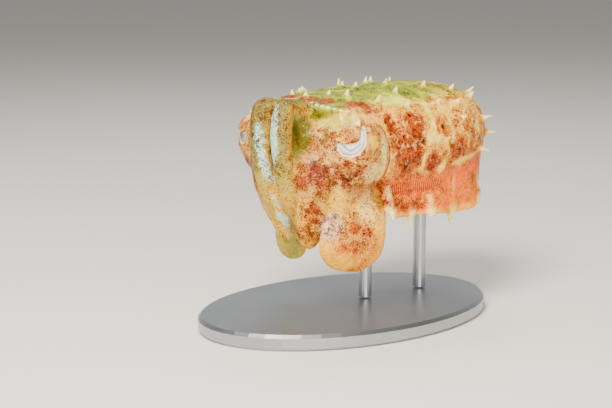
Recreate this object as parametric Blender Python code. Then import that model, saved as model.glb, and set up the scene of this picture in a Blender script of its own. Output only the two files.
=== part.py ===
"""Life-size display model of a small spiny cuttlefish, hovering on a two-rod stand.

The animal faces -X with its back up (+Z), and its head is turned a little to its own left.
Everything is worked out in millimetres and scaled to metres at the end. The origin is the centre
of the underside of the stand's base. Pieces that touch keep a gap of GAP between them.
"""

import math
import random
from typing import NamedTuple

import bmesh
import bpy
import numpy as np
from mathutils import Matrix, Vector

MM = 0.001
GAP = 0.3

# Stand
BASE_HALF_LENGTH = 31.0
BASE_HALF_WIDTH = 21.0
BASE_THICKNESS = 3.0
BASE_CHAMFER = 0.6
BASE_SIDES = 48
ROD_RADIUS = 1.25
ROD_HEAD_RADIUS = 2.2
ROD_SIDES = 16
ROD_PLACES = {"front": 5.0, "rear": 19.0}

# Mantle, the torso that holds the cuttlebone
AXIS_HEIGHT = 34.0
COLLAR_TIP_X = -14.0
COLLAR_SIDE_X = -2.8
COLLAR_BELLY_X = -0.5
TAIL_X = 31.3
TAIL_LIFT = 1.6
WIDEST_X = 8.0
MANTLE_HALF_WIDTH = 15.6
MANTLE_BACK_HEIGHT = 10.4
MANTLE_BELLY_DEPTH = 11.2
MANTLE_FULLNESS = 2.35
COLLAR_WALL = 1.3
COLLAR_ROOT_WALL = 3.2
COLLAR_LIP = 0.35
COLLAR_DEPTH = 5.0

# Head, in its own frame: forward, to the animal's left, up
HEAD_CENTRE = np.array((-7.4, 0.0, AXIS_HEIGHT))
HEAD_TURN = math.radians(11)
EYE_BULGE_OFFSET = 8.3
EYE_BULGE_RISE = -0.3
EYE_BULGE_RADIUS = 7.7
EYE_RADIUS = 3.7
EYE_SINK = 3.7
EYE_RISE = 1.2
EYE_AIM = math.radians(49)
EYE_OPENING = (2.4, 2.8, 1.25)
EYE_OPENING_TILT = math.radians(22)
LID_THICKNESS = 0.6

# Fins
FIN_START_X = -2.2
FIN_END_X = 26.4
FIN_WIDTH = 6.0
FIN_REAR_GROWTH = 0.42
FIN_SUNK = 0.6
FIN_ROOT = 1.5
FIN_EDGE = 0.6
FIN_WAVE = 0.7
FIN_WAVES = 2.6


def unit(vector):
    vector = np.asarray(vector, float)
    return vector / np.linalg.norm(vector)


def ease(x):
    x = np.clip(x, 0.0, 1.0)
    return x * x * (3 - 2 * x)


FORWARD = np.array((-math.cos(HEAD_TURN), -math.sin(HEAD_TURN), 0.0))
LEFT = np.array((math.sin(HEAD_TURN), -math.cos(HEAD_TURN), 0.0))
UP = np.array((0.0, 0.0, 1.0))


def from_head(point):
    """A point of the head's frame, or an array of them, in the world."""
    point = np.asarray(point, float)
    return HEAD_CENTRE + point @ np.array((FORWARD, LEFT, UP))


def turned_from_head(direction):
    return np.asarray(direction, float) @ np.array((FORWARD, LEFT, UP))


# Meshes and Booleans


def mesh_object(name, points, faces):
    """A closed mesh object whose faces point out."""
    mesh = bpy.data.meshes.new(name)
    mesh.from_pydata([tuple(map(float, p)) for p in points], [], faces)
    work = bmesh.new()
    work.from_mesh(mesh)
    bmesh.ops.recalc_face_normals(work, faces=work.faces)
    if work.calc_volume(signed=True) < 0:
        bmesh.ops.reverse_faces(work, faces=work.faces)
    work.to_mesh(mesh)
    work.free()
    obj = bpy.data.objects.new(name, mesh)
    bpy.context.scene.collection.objects.link(obj)
    return obj


def loft(name, rings):
    """One closed surface through rings of points. A ring of a single point closes its end."""
    points, faces, starts = [], [], []
    for ring in rings:
        starts.append(len(points))
        points.extend(ring)
    for a, b, one, two in zip(starts, starts[1:], rings, rings[1:]):
        count = max(len(one), len(two))
        for i in range(count):
            j = (i + 1) % count
            if len(one) == 1:
                faces.append((a, b + j, b + i))
            elif len(two) == 1:
                faces.append((a + i, a + j, b))
            else:
                faces.append((a + i, a + j, b + j, b + i))
    if len(rings[0]) > 1:
        faces.append(tuple(reversed(range(len(rings[0])))))
    if len(rings[-1]) > 1:
        faces.append(tuple(range(starts[-1], starts[-1] + len(rings[-1]))))
    return mesh_object(name, points, faces)


def keep_largest(mesh):
    """Drops every closed surface of a mesh but the one that holds most."""
    work = bmesh.new()
    work.from_mesh(mesh)
    left, pieces = set(work.faces), []
    while left:
        piece, front = set(), [left.pop()]
        while front:
            face = front.pop()
            piece.add(face)
            near = {f for edge in face.edges for f in edge.link_faces} & left
            left -= near
            front.extend(near)
        corners = ([v.co for v in face.verts] for face in piece)
        volume = sum(
            c[0].cross(c[k]).dot(c[k + 1]) for c in corners for k in range(1, len(c) - 1)
        )
        pieces.append((volume, piece))
    pieces.sort(key=lambda entry: -entry[0])
    for _, piece in pieces[1:]:
        bmesh.ops.delete(work, geom=list(piece), context="FACES")
    bmesh.ops.triangulate(work, faces=work.faces)
    work.to_mesh(mesh)
    work.free()


def boolean(target, others, operation):
    """Joins others to target or cuts them from it, then removes them."""
    if not others:
        return target
    tools = bpy.data.collections.new("tools")
    for other in others:
        tools.objects.link(other)
    modifier = target.modifiers.new("Boolean", "BOOLEAN")
    modifier.operation = operation
    modifier.operand_type = "COLLECTION"
    modifier.collection = tools
    modifier.solver = "EXACT"
    graph = bpy.context.evaluated_depsgraph_get()
    made = bpy.data.meshes.new_from_object(target.evaluated_get(graph))
    target.modifiers.clear()
    target.data = made
    keep_largest(made)
    for other in others:
        bpy.data.objects.remove(other)
    bpy.data.collections.remove(tools)
    return target


def joined(target, others):
    return boolean(target, others, "UNION")


def cut(target, others):
    return boolean(target, others, "DIFFERENCE")


# A direction that nothing here points along
ASKEW = (0.31, 0.17, 0.93)


def frame_along(normal):
    """Two unit vectors that are square to normal and to each other."""
    normal = unit(normal)
    first = unit(np.cross(normal, ASKEW))
    return first, np.cross(normal, first)


# How far up a papilla each ring stands and how wide it is, as shares of height and radius
PAPILLA_PROFILE = ((-0.45, 1.0), (0.12, 0.74), (0.5, 0.4))
PAPILLA_SIDES = 5


def papilla(root, normal, height, radius, lean=(0.0, 0.0, 0.0)):
    """A fleshy point: a cone with a flared foot, its root sunk in the skin."""
    normal = unit(normal)
    one, two = frame_along(normal)
    turns = [2 * math.pi * k / PAPILLA_SIDES for k in range(PAPILLA_SIDES)]
    rings = []
    for share, wide in PAPILLA_PROFILE:
        centre = root + normal * height * share + np.asarray(lean) * height * max(share, 0.0) ** 2
        rings.append(
            [centre + radius * wide * (one * math.cos(a) + two * math.sin(a)) for a in turns]
        )
    rings.append([root + normal * height + np.asarray(lean) * height])
    return loft("papilla", rings)


# Mantle


def mantle_sizes(x):
    """Half width, height of the back and depth of the belly at x."""
    towards_tail = np.clip((x - WIDEST_X) / (TAIL_X - WIDEST_X), 0.0, 1.0)
    towards_collar = np.clip((WIDEST_X - x) / (WIDEST_X - COLLAR_TIP_X), 0.0, 1.5)
    wide = (1 - towards_tail**2.5) ** 0.54 * (1 - 0.1 * towards_collar**2)
    tall = (1 - towards_tail**2.7) ** 0.54 * (1 - 0.16 * towards_collar**2)
    return MANTLE_HALF_WIDTH * wide, MANTLE_BACK_HEIGHT * tall, MANTLE_BELLY_DEPTH * tall


def mantle_axis(x):
    """The height of the mantle's middle line, which rises a little to the tail."""
    return AXIS_HEIGHT + TAIL_LIFT * ease((x - WIDEST_X) / (TAIL_X - WIDEST_X))


def mantle_point(x, around, grow=0.0):
    """A point of the mantle's skin. around runs from the left side, 0, over the back."""
    half_width, back, belly = mantle_sizes(x)
    c, s = math.cos(around), math.sin(around)
    power = 2 / MANTLE_FULLNESS
    across = math.copysign(abs(c) ** power, c)
    upward = math.copysign(abs(s) ** power, s)
    height = back if s > 0 else belly
    return np.array(
        (x, -(half_width + grow) * across, mantle_axis(x) + (height + grow) * upward)
    )


def mantle_normal(x, around):
    step = 0.02
    along = mantle_point(x + step, around) - mantle_point(x - step, around)
    round_it = mantle_point(x, around + step) - mantle_point(x, around - step)
    return unit(np.cross(along, round_it))


def collar_x(around):
    """Where the mantle's free edge lies: a tongue over the nape and a notch at the belly."""
    s = math.sin(around)
    reach = COLLAR_TIP_X if s > 0 else COLLAR_BELLY_X
    return COLLAR_SIDE_X + (reach - COLLAR_SIDE_X) * s * s


# Rings from collar to tail, which crowd towards the rounded tail
MANTLE_RINGS = 15


def mantle_body(grow=0.0, sides=32):
    """The mantle with the open collar that the neck goes into."""
    turns = [2 * math.pi * k / sides for k in range(sides)]
    rings = [[np.array((COLLAR_BELLY_X + COLLAR_DEPTH - 1.0, 0.0, AXIS_HEIGHT))]]
    for depth, wall in ((COLLAR_DEPTH, COLLAR_ROOT_WALL), (COLLAR_LIP, COLLAR_WALL)):
        ring = []
        for a in turns:
            x = collar_x(a) + depth - grow
            ring.append(mantle_point(x, a) - mantle_normal(x, a) * (wall + grow))
        rings.append(ring)
    crowding = [math.sin(math.pi / 2 * k / MANTLE_RINGS) for k in range(1, MANTLE_RINGS)]
    for share in [0.0, 0.03] + crowding:
        ring = []
        for a in turns:
            start = collar_x(a) - grow
            ring.append(mantle_point(start + (TAIL_X - start) * share, a, grow))
        rings.append(ring)
    rings.append([np.array((TAIL_X + grow, 0.0, mantle_axis(TAIL_X)))])
    return loft("mantle", rings)


# Papillae of the left side: x, angle round the mantle in degrees, height
MANTLE_PAPILLAE = (
    (-10.6, 87, 1.2),
    (-7.3, 78, 1.3),
    (-4.9, 70, 1.4),
    (-0.9, 53, 1.6),
    (0.2, 84, 1.4),
    (5.0, 63, 1.6),
    (4.5, 43, 1.2),
    (7.0, 82, 1.5),
    (13.1, 68, 1.6),
    (11.8, 42, 1.4),
    (18.3, 57, 1.7),
    (17.0, 39, 1.3),
    (16.4, 21, 1.2),
    (22.0, 45, 1.7),
    (26.0, 62, 1.8),
    (24.0, 15, 2.1),
    (26.6, -3, 2.1),
    (23.0, -15, 2.3),
)
PAPILLA_RADIUS = 0.95
PAPILLA_LEAN = (0.25, 0.0, 0.0)


def mantle_papillae():
    """The points of both sides, those of the right side shifted and sized a little otherwise."""
    made = []
    draw = random.Random(7)
    for side in (1, -1):
        for x, degrees, height in MANTLE_PAPILLAE:
            if side < 0:
                x += draw.uniform(-1.0, 0.6)
                degrees += draw.uniform(-5, 5)
                height *= draw.uniform(0.85, 1.15)
            around = math.radians(degrees if side > 0 else 180 - degrees)
            root, normal = mantle_point(x, around), mantle_normal(x, around)
            made.append(papilla(root, normal, height, PAPILLA_RADIUS, PAPILLA_LEAN))
    return made


# Head


def ball(points, centre, radii):
    """Roughly how far points lie outside an ellipsoid."""
    radii = np.asarray(radii, float)
    away = (points - np.asarray(centre, float)) / radii
    first = np.linalg.norm(away, axis=1)
    second = np.linalg.norm(away / radii, axis=1)
    return first * (first - 1) / np.maximum(second, 1e-9)


def blended(one, two, reach):
    """The union of two distance fields, rounded where they meet."""
    share = np.clip(0.5 + 0.5 * (two - one) / reach, 0.0, 1.0)
    return two * (1 - share) + one * share - reach * share * (1 - share)


NECK_CENTRE = (-8.4, 2.1, 0.6)
HEAD_FORMS = (
    ((-2.0, 0.0, -0.8), (10.0, 10.0, 7.4)),
    ((0.0, EYE_BULGE_OFFSET, EYE_BULGE_RISE), (EYE_BULGE_RADIUS,) * 3),
    ((0.0, -EYE_BULGE_OFFSET, EYE_BULGE_RISE), (EYE_BULGE_RADIUS,) * 3),
    ((4.4, 0.0, -6.0), (5.4, 7.2, 7.0)),
    ((0.0, 6.0, -8.0), (4.5, 5.0, 4.0)),
    ((0.0, -6.0, -8.0), (4.5, 5.0, 4.0)),
    (NECK_CENTRE, (6.6, 11.0, 6.6)),
)


def head_distance(points):
    fields = [ball(points, centre, radii) for centre, radii in HEAD_FORMS]
    total = fields[0]
    for field in fields[1:]:
        total = blended(total, field, 2.0)
    return total


def head_body(grow=0.0, rows=20, sides=32):
    """The head's skin, found along rays from its middle."""
    middle = np.array((-0.5, 0.0, -0.5))
    directions = [np.array((0.0, 0.0, 1.0))]
    for i in range(1, rows):
        tilt = math.pi * i / rows
        for k in range(sides):
            a = 2 * math.pi * k / sides
            directions.append(
                np.array(
                    (math.sin(tilt) * math.cos(a), math.sin(tilt) * math.sin(a), math.cos(tilt))
                )
            )
    directions.append(np.array((0.0, 0.0, -1.0)))
    directions = np.array(directions)
    steps = np.linspace(2.0, 24.0, 90)
    inside = np.zeros(len(directions))
    for step in steps:
        held = head_distance(middle + directions * step) < grow
        inside = np.where(held, step, inside)
    low, high = inside, inside + (steps[1] - steps[0])
    for _ in range(12):
        half = (low + high) / 2
        held = head_distance(middle + directions * half[:, None]) < grow
        low, high = np.where(held, half, low), np.where(held, high, half)
    points = from_head(middle + directions * low[:, None])
    rings = [[points[0]]]
    for i in range(rows - 1):
        rings.append(list(points[1 + i * sides : 1 + (i + 1) * sides]))
    rings.append([points[-1]])
    return loft("head", rings)


def eye_axis(side):
    return np.array((math.cos(EYE_AIM), side * math.sin(EYE_AIM), 0.0))


def eye_centre(side):
    """The middle of the eyeball, in the head's frame."""
    bulge = np.array((0.0, side * EYE_BULGE_OFFSET, EYE_RISE))
    return bulge + eye_axis(side) * (EYE_BULGE_RADIUS - EYE_SINK)


def sphere(name, centre, radius, fineness=3):
    work = bmesh.new()
    bmesh.ops.create_icosphere(work, subdivisions=fineness, radius=radius)
    mesh = bpy.data.meshes.new(name)
    work.to_mesh(mesh)
    work.free()
    mesh.transform(Matrix.Translation(Vector(centre)))
    obj = bpy.data.objects.new(name, mesh)
    bpy.context.scene.collection.objects.link(obj)
    return obj


def lid(side, grow=0.0):
    """A cap of skin that rounds out the bulge over the eyeball."""
    return sphere("lid", from_head(eye_centre(side)), EYE_RADIUS + GAP + LID_THICKNESS + grow)


def head_cutters():
    """The head, a gap larger all round, to cut from what lies against it."""
    return [head_body(GAP), lid(1, GAP), lid(-1, GAP)]


def eye_opening(side):
    """The lens-shaped cut between the lids, its rear corner raised."""
    made = sphere("opening", (0.0, 0.0, 0.0), 1.0)
    deep, wide, tall = EYE_OPENING
    axis = eye_axis(side)
    across = np.array((-side * axis[1], side * axis[0], 0.0))
    tilt = EYE_OPENING_TILT
    along = across * math.cos(tilt) + UP * math.sin(tilt)
    upward = UP * math.cos(tilt) - across * math.sin(tilt)
    centre = eye_centre(side) + axis * (EYE_RADIUS + 0.2) - UP * 0.1
    turn = np.array([turned_from_head(v) for v in (axis * deep, along * wide, upward * tall)])
    for corner in made.data.vertices:
        corner.co = from_head(centre) + np.array(corner.co) @ turn
    if np.linalg.det(turn) < 0:
        made.data.flip_normals()
    return made


# Papillae on the head: direction from the middle of an eye bulge, height, radius
BROW_PAPILLAE = (((0.34, 0.6, 0.73), 1.4, 0.9), ((0.54, 0.22, 0.81), 1.5, 0.85))


def brow_papillae():
    made = []
    for side in (1, -1):
        bulge = np.array((0.0, side * EYE_BULGE_OFFSET, EYE_BULGE_RISE))
        for (f, s, z), height, radius in BROW_PAPILLAE:
            direction = unit((f, side * s, z))
            root = from_head(bulge + direction * EYE_BULGE_RADIUS)
            made.append(papilla(root, turned_from_head(direction), height, radius))
    return made


# Arms


class Arm(NamedTuple):
    """One arm: its line in the head's frame, and how broad and deep it is along that line."""

    pair: str
    side: int
    line: tuple
    outward: tuple
    half_widths: tuple
    half_depths: tuple
    lengths: int


def mirrored(arm, squeeze=1.0, **changes):
    """The same arm on the other side, drawn in by squeeze towards its tip."""
    last = len(arm.line) - 1
    line = []
    for k, (f, s, z) in enumerate(arm.line):
        share = 1 + (squeeze - 1) * (k / last) ** 0.7
        line.append((f * share, -s * share, z))
    outward = tuple((f, -s, z) for f, s, z in arm.outward)
    return arm._replace(side=-arm.side, line=tuple(line), outward=outward)._replace(**changes)


FIRST = Arm(
    pair="first",
    side=1,
    line=(
        (3.0, 2.25, 2.0),
        (7.9, 2.2, 6.5),
        (10.6, 2.2, 7.6),
        (11.5, 2.2, 4.4),
        (11.3, 2.2, 0.0),
        (10.3, 2.15, -4.5),
        (8.5, 2.05, -9.0),
        (6.1, 1.9, -13.0),
        (4.2, 1.8, -16.0),
    ),
    outward=((-0.5, 0.0, 1.0), (1.0, 0.0, 0.3), (1.0, 0.1, -0.2), (0.9, 0.1, 0.5)),
    half_widths=(2.05, 2.05, 2.05, 1.9, 1.5),
    half_depths=(1.9, 1.9, 1.8, 1.6, 1.1),
    lengths=3,
)
SECOND = Arm(
    pair="second",
    side=1,
    line=(
        (4.0, 5.0, -1.0),
        (7.8, 6.6, -3.0),
        (8.9, 6.7, -6.0),
        (8.2, 6.1, -10.5),
        (6.9, 4.9, -14.5),
        (5.9, 3.9, -18.0),
    ),
    outward=((0.6, 0.6, 0.6), (0.7, 0.7, 0.1), (0.7, 0.7, -0.2), (0.6, 0.8, 0.2)),
    half_widths=(2.3, 2.6, 2.8, 2.7, 1.9),
    half_depths=(1.8, 1.9, 1.8, 1.5, 1.0),
    lengths=2,
)
THIRD = Arm(
    pair="third",
    side=1,
    line=(
        (2.0, 5.5, -5.0),
        (4.4, 8.2, -7.4),
        (4.4, 8.2, -11.0),
        (3.2, 6.6, -14.5),
        (2.2, 5.2, -17.0),
    ),
    outward=((0.3, 0.9, 0.4), (0.35, 0.95, 0.1), (0.3, 0.95, 0.0), (0.3, 0.95, 0.0)),
    half_widths=(2.4, 2.8, 2.6, 2.2, 1.5),
    half_depths=(1.8, 1.9, 1.7, 1.4, 1.0),
    lengths=2,
)
FOURTH = Arm(
    pair="fourth",
    side=1,
    line=(
        (-2.0, 6.0, -5.5),
        (-1.6, 9.0, -9.0),
        (0.4, 10.4, -13.5),
        (1.8, 10.4, -17.5),
        (2.2, 9.9, -22.3),
    ),
    outward=((0.1, 0.9, 0.3), (0.4, 0.92, 0.1), (0.45, 0.89, 0.0), (0.5, 0.85, -0.1)),
    half_widths=(3.4, 5.2, 6.1, 6.3, 4.8),
    half_depths=(2.2, 2.1, 1.7, 1.3, 0.9),
    lengths=2,
)
FOURTH_RIGHT_LINE = (
    (-2.0, -6.0, -5.5),
    (-1.6, -8.4, -9.0),
    (-1.4, -8.2, -13.5),
    (-1.5, -7.4, -17.5),
    (-1.5, -7.2, -22.9),
)
ARMS = (
    FIRST,
    mirrored(FIRST, 1.1, half_widths=(2.05, 2.1, 2.15, 1.95, 1.5)),
    SECOND,
    mirrored(SECOND, 0.74),
    THIRD,
    mirrored(THIRD, 0.8),
    FOURTH,
    mirrored(
        FOURTH,
        line=FOURTH_RIGHT_LINE,
        outward=((0.1, -0.9, 0.3), (0.6, -0.8, 0.1), (0.96, -0.2, 0.0), (1.0, 0.08, -0.1)),
        half_widths=(3.0, 3.8, 4.1, 4.2, 3.6),
    ),
)
ARM_SIDES = 10
ARM_FULLNESS = 2.3
# An arm's root takes more of its line, so the first cut lies this much further along
ARM_ROOT_SHARE = 0.16


def through(knots, share):
    """A smooth curve through knots, at a share of the way from the first to the last."""
    knots = np.asarray(knots, float)
    if knots.ndim == 1:
        knots = knots[:, None]
    place = min(max(share, 0.0), 1.0) * (len(knots) - 1)
    i = min(int(place), len(knots) - 2)
    t = place - i
    before, after = knots[max(i - 1, 0)], knots[min(i + 2, len(knots) - 1)]
    a, b = knots[i], knots[i + 1]
    slope_a, slope_b = (b - before) / 2, (after - a) / 2
    return (
        (2 * t**3 - 3 * t**2 + 1) * a
        + (t**3 - 2 * t**2 + t) * slope_a
        + (3 * t**2 - 2 * t**3) * b
        + (t**3 - t**2) * slope_b
    )


def arm_frame(arm, share):
    """The arm's middle line and its side and outward directions, in the head's frame."""
    step = 0.01
    centre = through(arm.line, share)
    tangent = unit(through(arm.line, share + step) - through(arm.line, share - step))
    outward = through(arm.outward, share)
    outward = unit(outward - tangent * outward.dot(tangent))
    return centre, tangent, np.cross(tangent, outward), outward


def arm_sizes(arm, share, grow):
    """Half width and half depth, rounded off at the tip."""
    round_off = math.sqrt(max(1 - (max(share - 0.8, 0.0) / 0.2) ** 2, 0.0))
    wide = through(arm.half_widths, share)[0] * round_off
    deep = through(arm.half_depths, share)[0] * (0.35 + 0.65 * round_off)
    return wide + grow, deep + grow


def arm_ring(arm, share, grow):
    centre, _, across, outward = arm_frame(arm, share)
    wide, deep = arm_sizes(arm, share, grow)
    power = 2 / ARM_FULLNESS
    ring = []
    for k in range(ARM_SIDES):
        a = 2 * math.pi * k / ARM_SIDES
        c, s = math.cos(a), math.sin(a)
        point = centre + across * wide * math.copysign(abs(c) ** power, c)
        point = point + outward * deep * math.copysign(abs(s) ** power, s)
        ring.append(from_head(point))
    return ring


def arm_piece(arm, start, end, grow=0.0):
    """The stretch of an arm between two shares of its line."""
    stations = 5 * arm.lengths + 1
    shares = [k / stations for k in range(stations) if start + 0.02 < k / stations < end - 0.02]
    shares = [start] + shares + ([0.965, 0.99] if end >= 1.0 else [end])
    rings = [arm_ring(arm, share, grow) for share in shares]
    if end >= 1.0:
        centre, tangent, _, _ = arm_frame(arm, 1.0)
        rings.append([from_head(centre + tangent * grow)])
    return loft("arm", rings)


SUCKER_SIDES = 6
SUCKERS_A_ROW = 9
SUCKERS_START = 0.2
SUCKERS_LENGTH = 0.74
# Height and radius of a sucker's rings, as shares of its radius, and the depth of its dimple
SUCKER_PROFILE = ((-0.7, 0.8), (0.75, 1.0))
SUCKER_DIMPLE = 0.35


def sucker(root, normal, radius):
    """A short cup with a dimple in its mouth, its foot sunk in the arm."""
    one, two = frame_along(normal)
    turns = [2 * math.pi * k / SUCKER_SIDES for k in range(SUCKER_SIDES)]
    around = [one * math.cos(a) + two * math.sin(a) for a in turns]
    rings = []
    for height, wide in SUCKER_PROFILE:
        centre = root + normal * radius * height
        rings.append([centre + radius * wide * way for way in around])
    rings.append([root + normal * radius * SUCKER_DIMPLE])
    return loft("sucker", rings)


def suckers(arm, start, end):
    """Two rows of cups on the inner face of a stretch of an arm."""
    made = []
    for k in range(SUCKERS_A_ROW):
        for row in (-1, 1):
            share = SUCKERS_START + SUCKERS_LENGTH * (k + 0.25 * row) / (SUCKERS_A_ROW - 1)
            if not start + 0.01 < share < min(end, 0.95) - 0.01:
                continue
            centre, _, across, outward = arm_frame(arm, share)
            wide, deep = arm_sizes(arm, share, 0.0)
            radius = 0.62 - 0.3 * share
            offset = row * min(0.42 * wide, 1.15)
            lift = deep * (1 - (abs(offset) / wide) ** ARM_FULLNESS) ** (1 / ARM_FULLNESS)
            root = centre + across * offset - outward * lift
            made.append(sucker(from_head(root), -turned_from_head(outward), radius))
    return made


def arm_cut_points(arm):
    """Where an arm is parted: pairs of shares that leave a gap of GAP between stretches."""
    places = [through(arm.line, k / 60) for k in range(61)]
    length = sum(np.linalg.norm(b - a) for a, b in zip(places, places[1:]))
    half = GAP / 2 / length
    cuts = [0.0]
    for k in range(1, arm.lengths):
        middle = ARM_ROOT_SHARE + (1 - ARM_ROOT_SHARE) * k / arm.lengths
        cuts += [middle - half, middle + half]
    cuts.append(1.0)
    return list(zip(cuts[::2], cuts[1::2]))


# Fins


def fin_root_angle(x):
    """How far below the side the fin grows, in radians: low at the collar, higher at the tail."""
    return -math.radians(33 - 3 * ease((x - FIN_START_X) / 26.0))


def fin_width(share):
    """How far the fin hangs down at a share of its length: it deepens towards the rear."""
    front = 0.75 + 0.25 * ease(share / 0.08)
    rear = 1 + FIN_REAR_GROWTH * ease((share - 0.3) / 0.6)
    return FIN_WIDTH * front * rear * (1 - 0.12 * ease((share - 0.92) / 0.08))


def fin_grids(side, columns=26, rows=4):
    """The two faces of a fin, as rows of points from its root to its wavy edge."""
    outer, inner = [], []
    for i in range(columns):
        share = i / (columns - 1)
        x = FIN_START_X + (FIN_END_X - FIN_START_X) * share
        around = fin_root_angle(x)
        root = mantle_point(x, around, -FIN_SUNK)
        normal = mantle_normal(x, around)
        down = unit(np.array((0.0, -0.06, -1.0)) + 0.22 * normal * (1 - share))
        width = fin_width(share) + FIN_SUNK
        wave = FIN_WAVE * math.sin(2 * math.pi * FIN_WAVES * share + 0.6)
        face = unit(np.cross(down, (1.0, 0.0, 0.0)))
        if face[1] > 0:
            face = -face
        outer_line, inner_line = [], []
        for j in range(rows):
            out = j / (rows - 1)
            thick = FIN_ROOT + (FIN_EDGE - FIN_ROOT) * out**0.7
            middle = root + down * width * out + face * wave * out**1.6
            middle = middle + face * thick * 0.15
            outer_line.append(middle + face * thick / 2)
            inner_line.append(middle - face * thick / 2)
        outer.append(outer_line)
        inner.append(inner_line)
    flip = np.array((1.0, side, 1.0))
    return np.array(outer) * flip, np.array(inner) * flip


def sheet(name, outer, inner):
    """A closed sheet between two grids of points, split alike on both faces."""
    columns, rows = outer.shape[:2]
    points = list(outer.reshape(-1, 3)) + list(inner.reshape(-1, 3))
    shift = columns * rows

    def at(i, j):
        return i * rows + j

    faces = []
    for i in range(columns - 1):
        for j in range(rows - 1):
            a, b, c, d = at(i, j), at(i + 1, j), at(i + 1, j + 1), at(i, j + 1)
            faces += [(a, b, c), (a, c, d)]
            faces += [(a + shift, c + shift, b + shift), (a + shift, d + shift, c + shift)]
    rim = [at(i, 0) for i in range(columns)]
    rim += [at(columns - 1, j) for j in range(1, rows)]
    rim += [at(i, rows - 1) for i in range(columns - 2, -1, -1)]
    rim += [at(0, j) for j in range(rows - 2, 0, -1)]
    for a, b in zip(rim, rim[1:] + rim[:1]):
        faces += [(a, a + shift, b + shift), (a, b + shift, b)]
    return mesh_object(name, points, faces)


# Fleshy points on a fin's edge: share of the fin's length, height, radius
FIN_POINTS = ((0.04, 1.8, 0.9), (0.24, 2.7, 1.1), (0.38, 1.1, 0.8), (0.6, 3.0, 1.4), (0.9, 1.6, 1.2))


def fin(side):
    outer, inner = fin_grids(side)
    middle = (outer + inner) / 2
    points = []
    for share, height, radius in FIN_POINTS:
        i = round(share * (len(middle) - 1))
        down = unit(middle[i][-1] - middle[i][-2])
        points.append(papilla(middle[i][-1] - down * 0.6, down, height, radius))
    name = "fin_left" if side > 0 else "fin_right"
    return joined(sheet(name, outer, inner), points)


# Funnel and stand


# The funnel from root to nozzle and back into its bore: forward, up, half width, half depth
FUNNEL_STATIONS = (
    (-9.0, -7.2, 4.2, 1.5),
    (-6.0, -8.6, 3.6, 1.9),
    (-2.5, -11.0, 2.6, 2.1),
    (0.6, -13.2, 2.1, 2.0),
    (0.6, -13.2, 1.4, 1.4),
    (-1.8, -11.4, 1.2, 1.2),
)
FUNNEL_SIDES = 14


def funnel():
    """The flattened root under the neck, narrowing to a round open nozzle."""
    turns = [2 * math.pi * k / FUNNEL_SIDES for k in range(FUNNEL_SIDES)]
    rings = []
    for f, z, wide, deep in FUNNEL_STATIONS:
        rings.append([from_head((f, wide * math.cos(a), z + deep * math.sin(a))) for a in turns])
    return loft("funnel", rings)


def oval(x, z, half_length, half_width, sides):
    """A level ring of points round a place on the midline."""
    turns = [2 * math.pi * k / sides for k in range(sides)]
    return [np.array((x + half_length * math.cos(a), half_width * math.sin(a), z)) for a in turns]


def stand_base():
    """The oval base, with both edges chamfered."""
    top = BASE_THICKNESS
    levels = ((0.0, BASE_CHAMFER), (BASE_CHAMFER, 0.0), (top - BASE_CHAMFER, 0.0), (top, BASE_CHAMFER))
    rings = []
    for z, inset in levels:
        rings.append(oval(0.0, z, BASE_HALF_LENGTH - inset, BASE_HALF_WIDTH - inset, BASE_SIDES))
    return loft("stand_base", rings)


def stand_rod(place, x):
    """A rod whose widened head is cut to the belly's shape."""
    belly = AXIS_HEIGHT - MANTLE_BELLY_DEPTH
    levels = (
        (BASE_THICKNESS + GAP, ROD_RADIUS),
        (belly - 4.0, ROD_RADIUS),
        (belly - 1.0, ROD_HEAD_RADIUS),
        (belly + 1.5, ROD_HEAD_RADIUS),
    )
    rings = [oval(x, z, radius, radius, ROD_SIDES) for z, radius in levels]
    return cut(loft("stand_rod_" + place, rings), [mantle_body(GAP)])


# Assembly


def material(name, colour, roughness, metallic=0.0):
    made = bpy.data.materials.new(name)
    made.use_nodes = True
    shader = made.node_tree.nodes["Principled BSDF"]
    shader.inputs["Base Color"].default_value = (*colour, 1.0)
    shader.inputs["Roughness"].default_value = roughness
    shader.inputs["Metallic"].default_value = metallic
    return made


def finish(obj, name, surface, smooth=True):
    """Names an object, scales it to metres and gives it its material."""
    obj.name = name
    obj.data.name = name
    obj.data.transform(Matrix.Scale(MM, 4))
    obj.data.materials.clear()
    obj.data.materials.append(surface)
    if smooth:
        obj.data.shade_smooth()
        obj.data.set_sharp_from_angle(angle=math.radians(50))
    return obj


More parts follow.
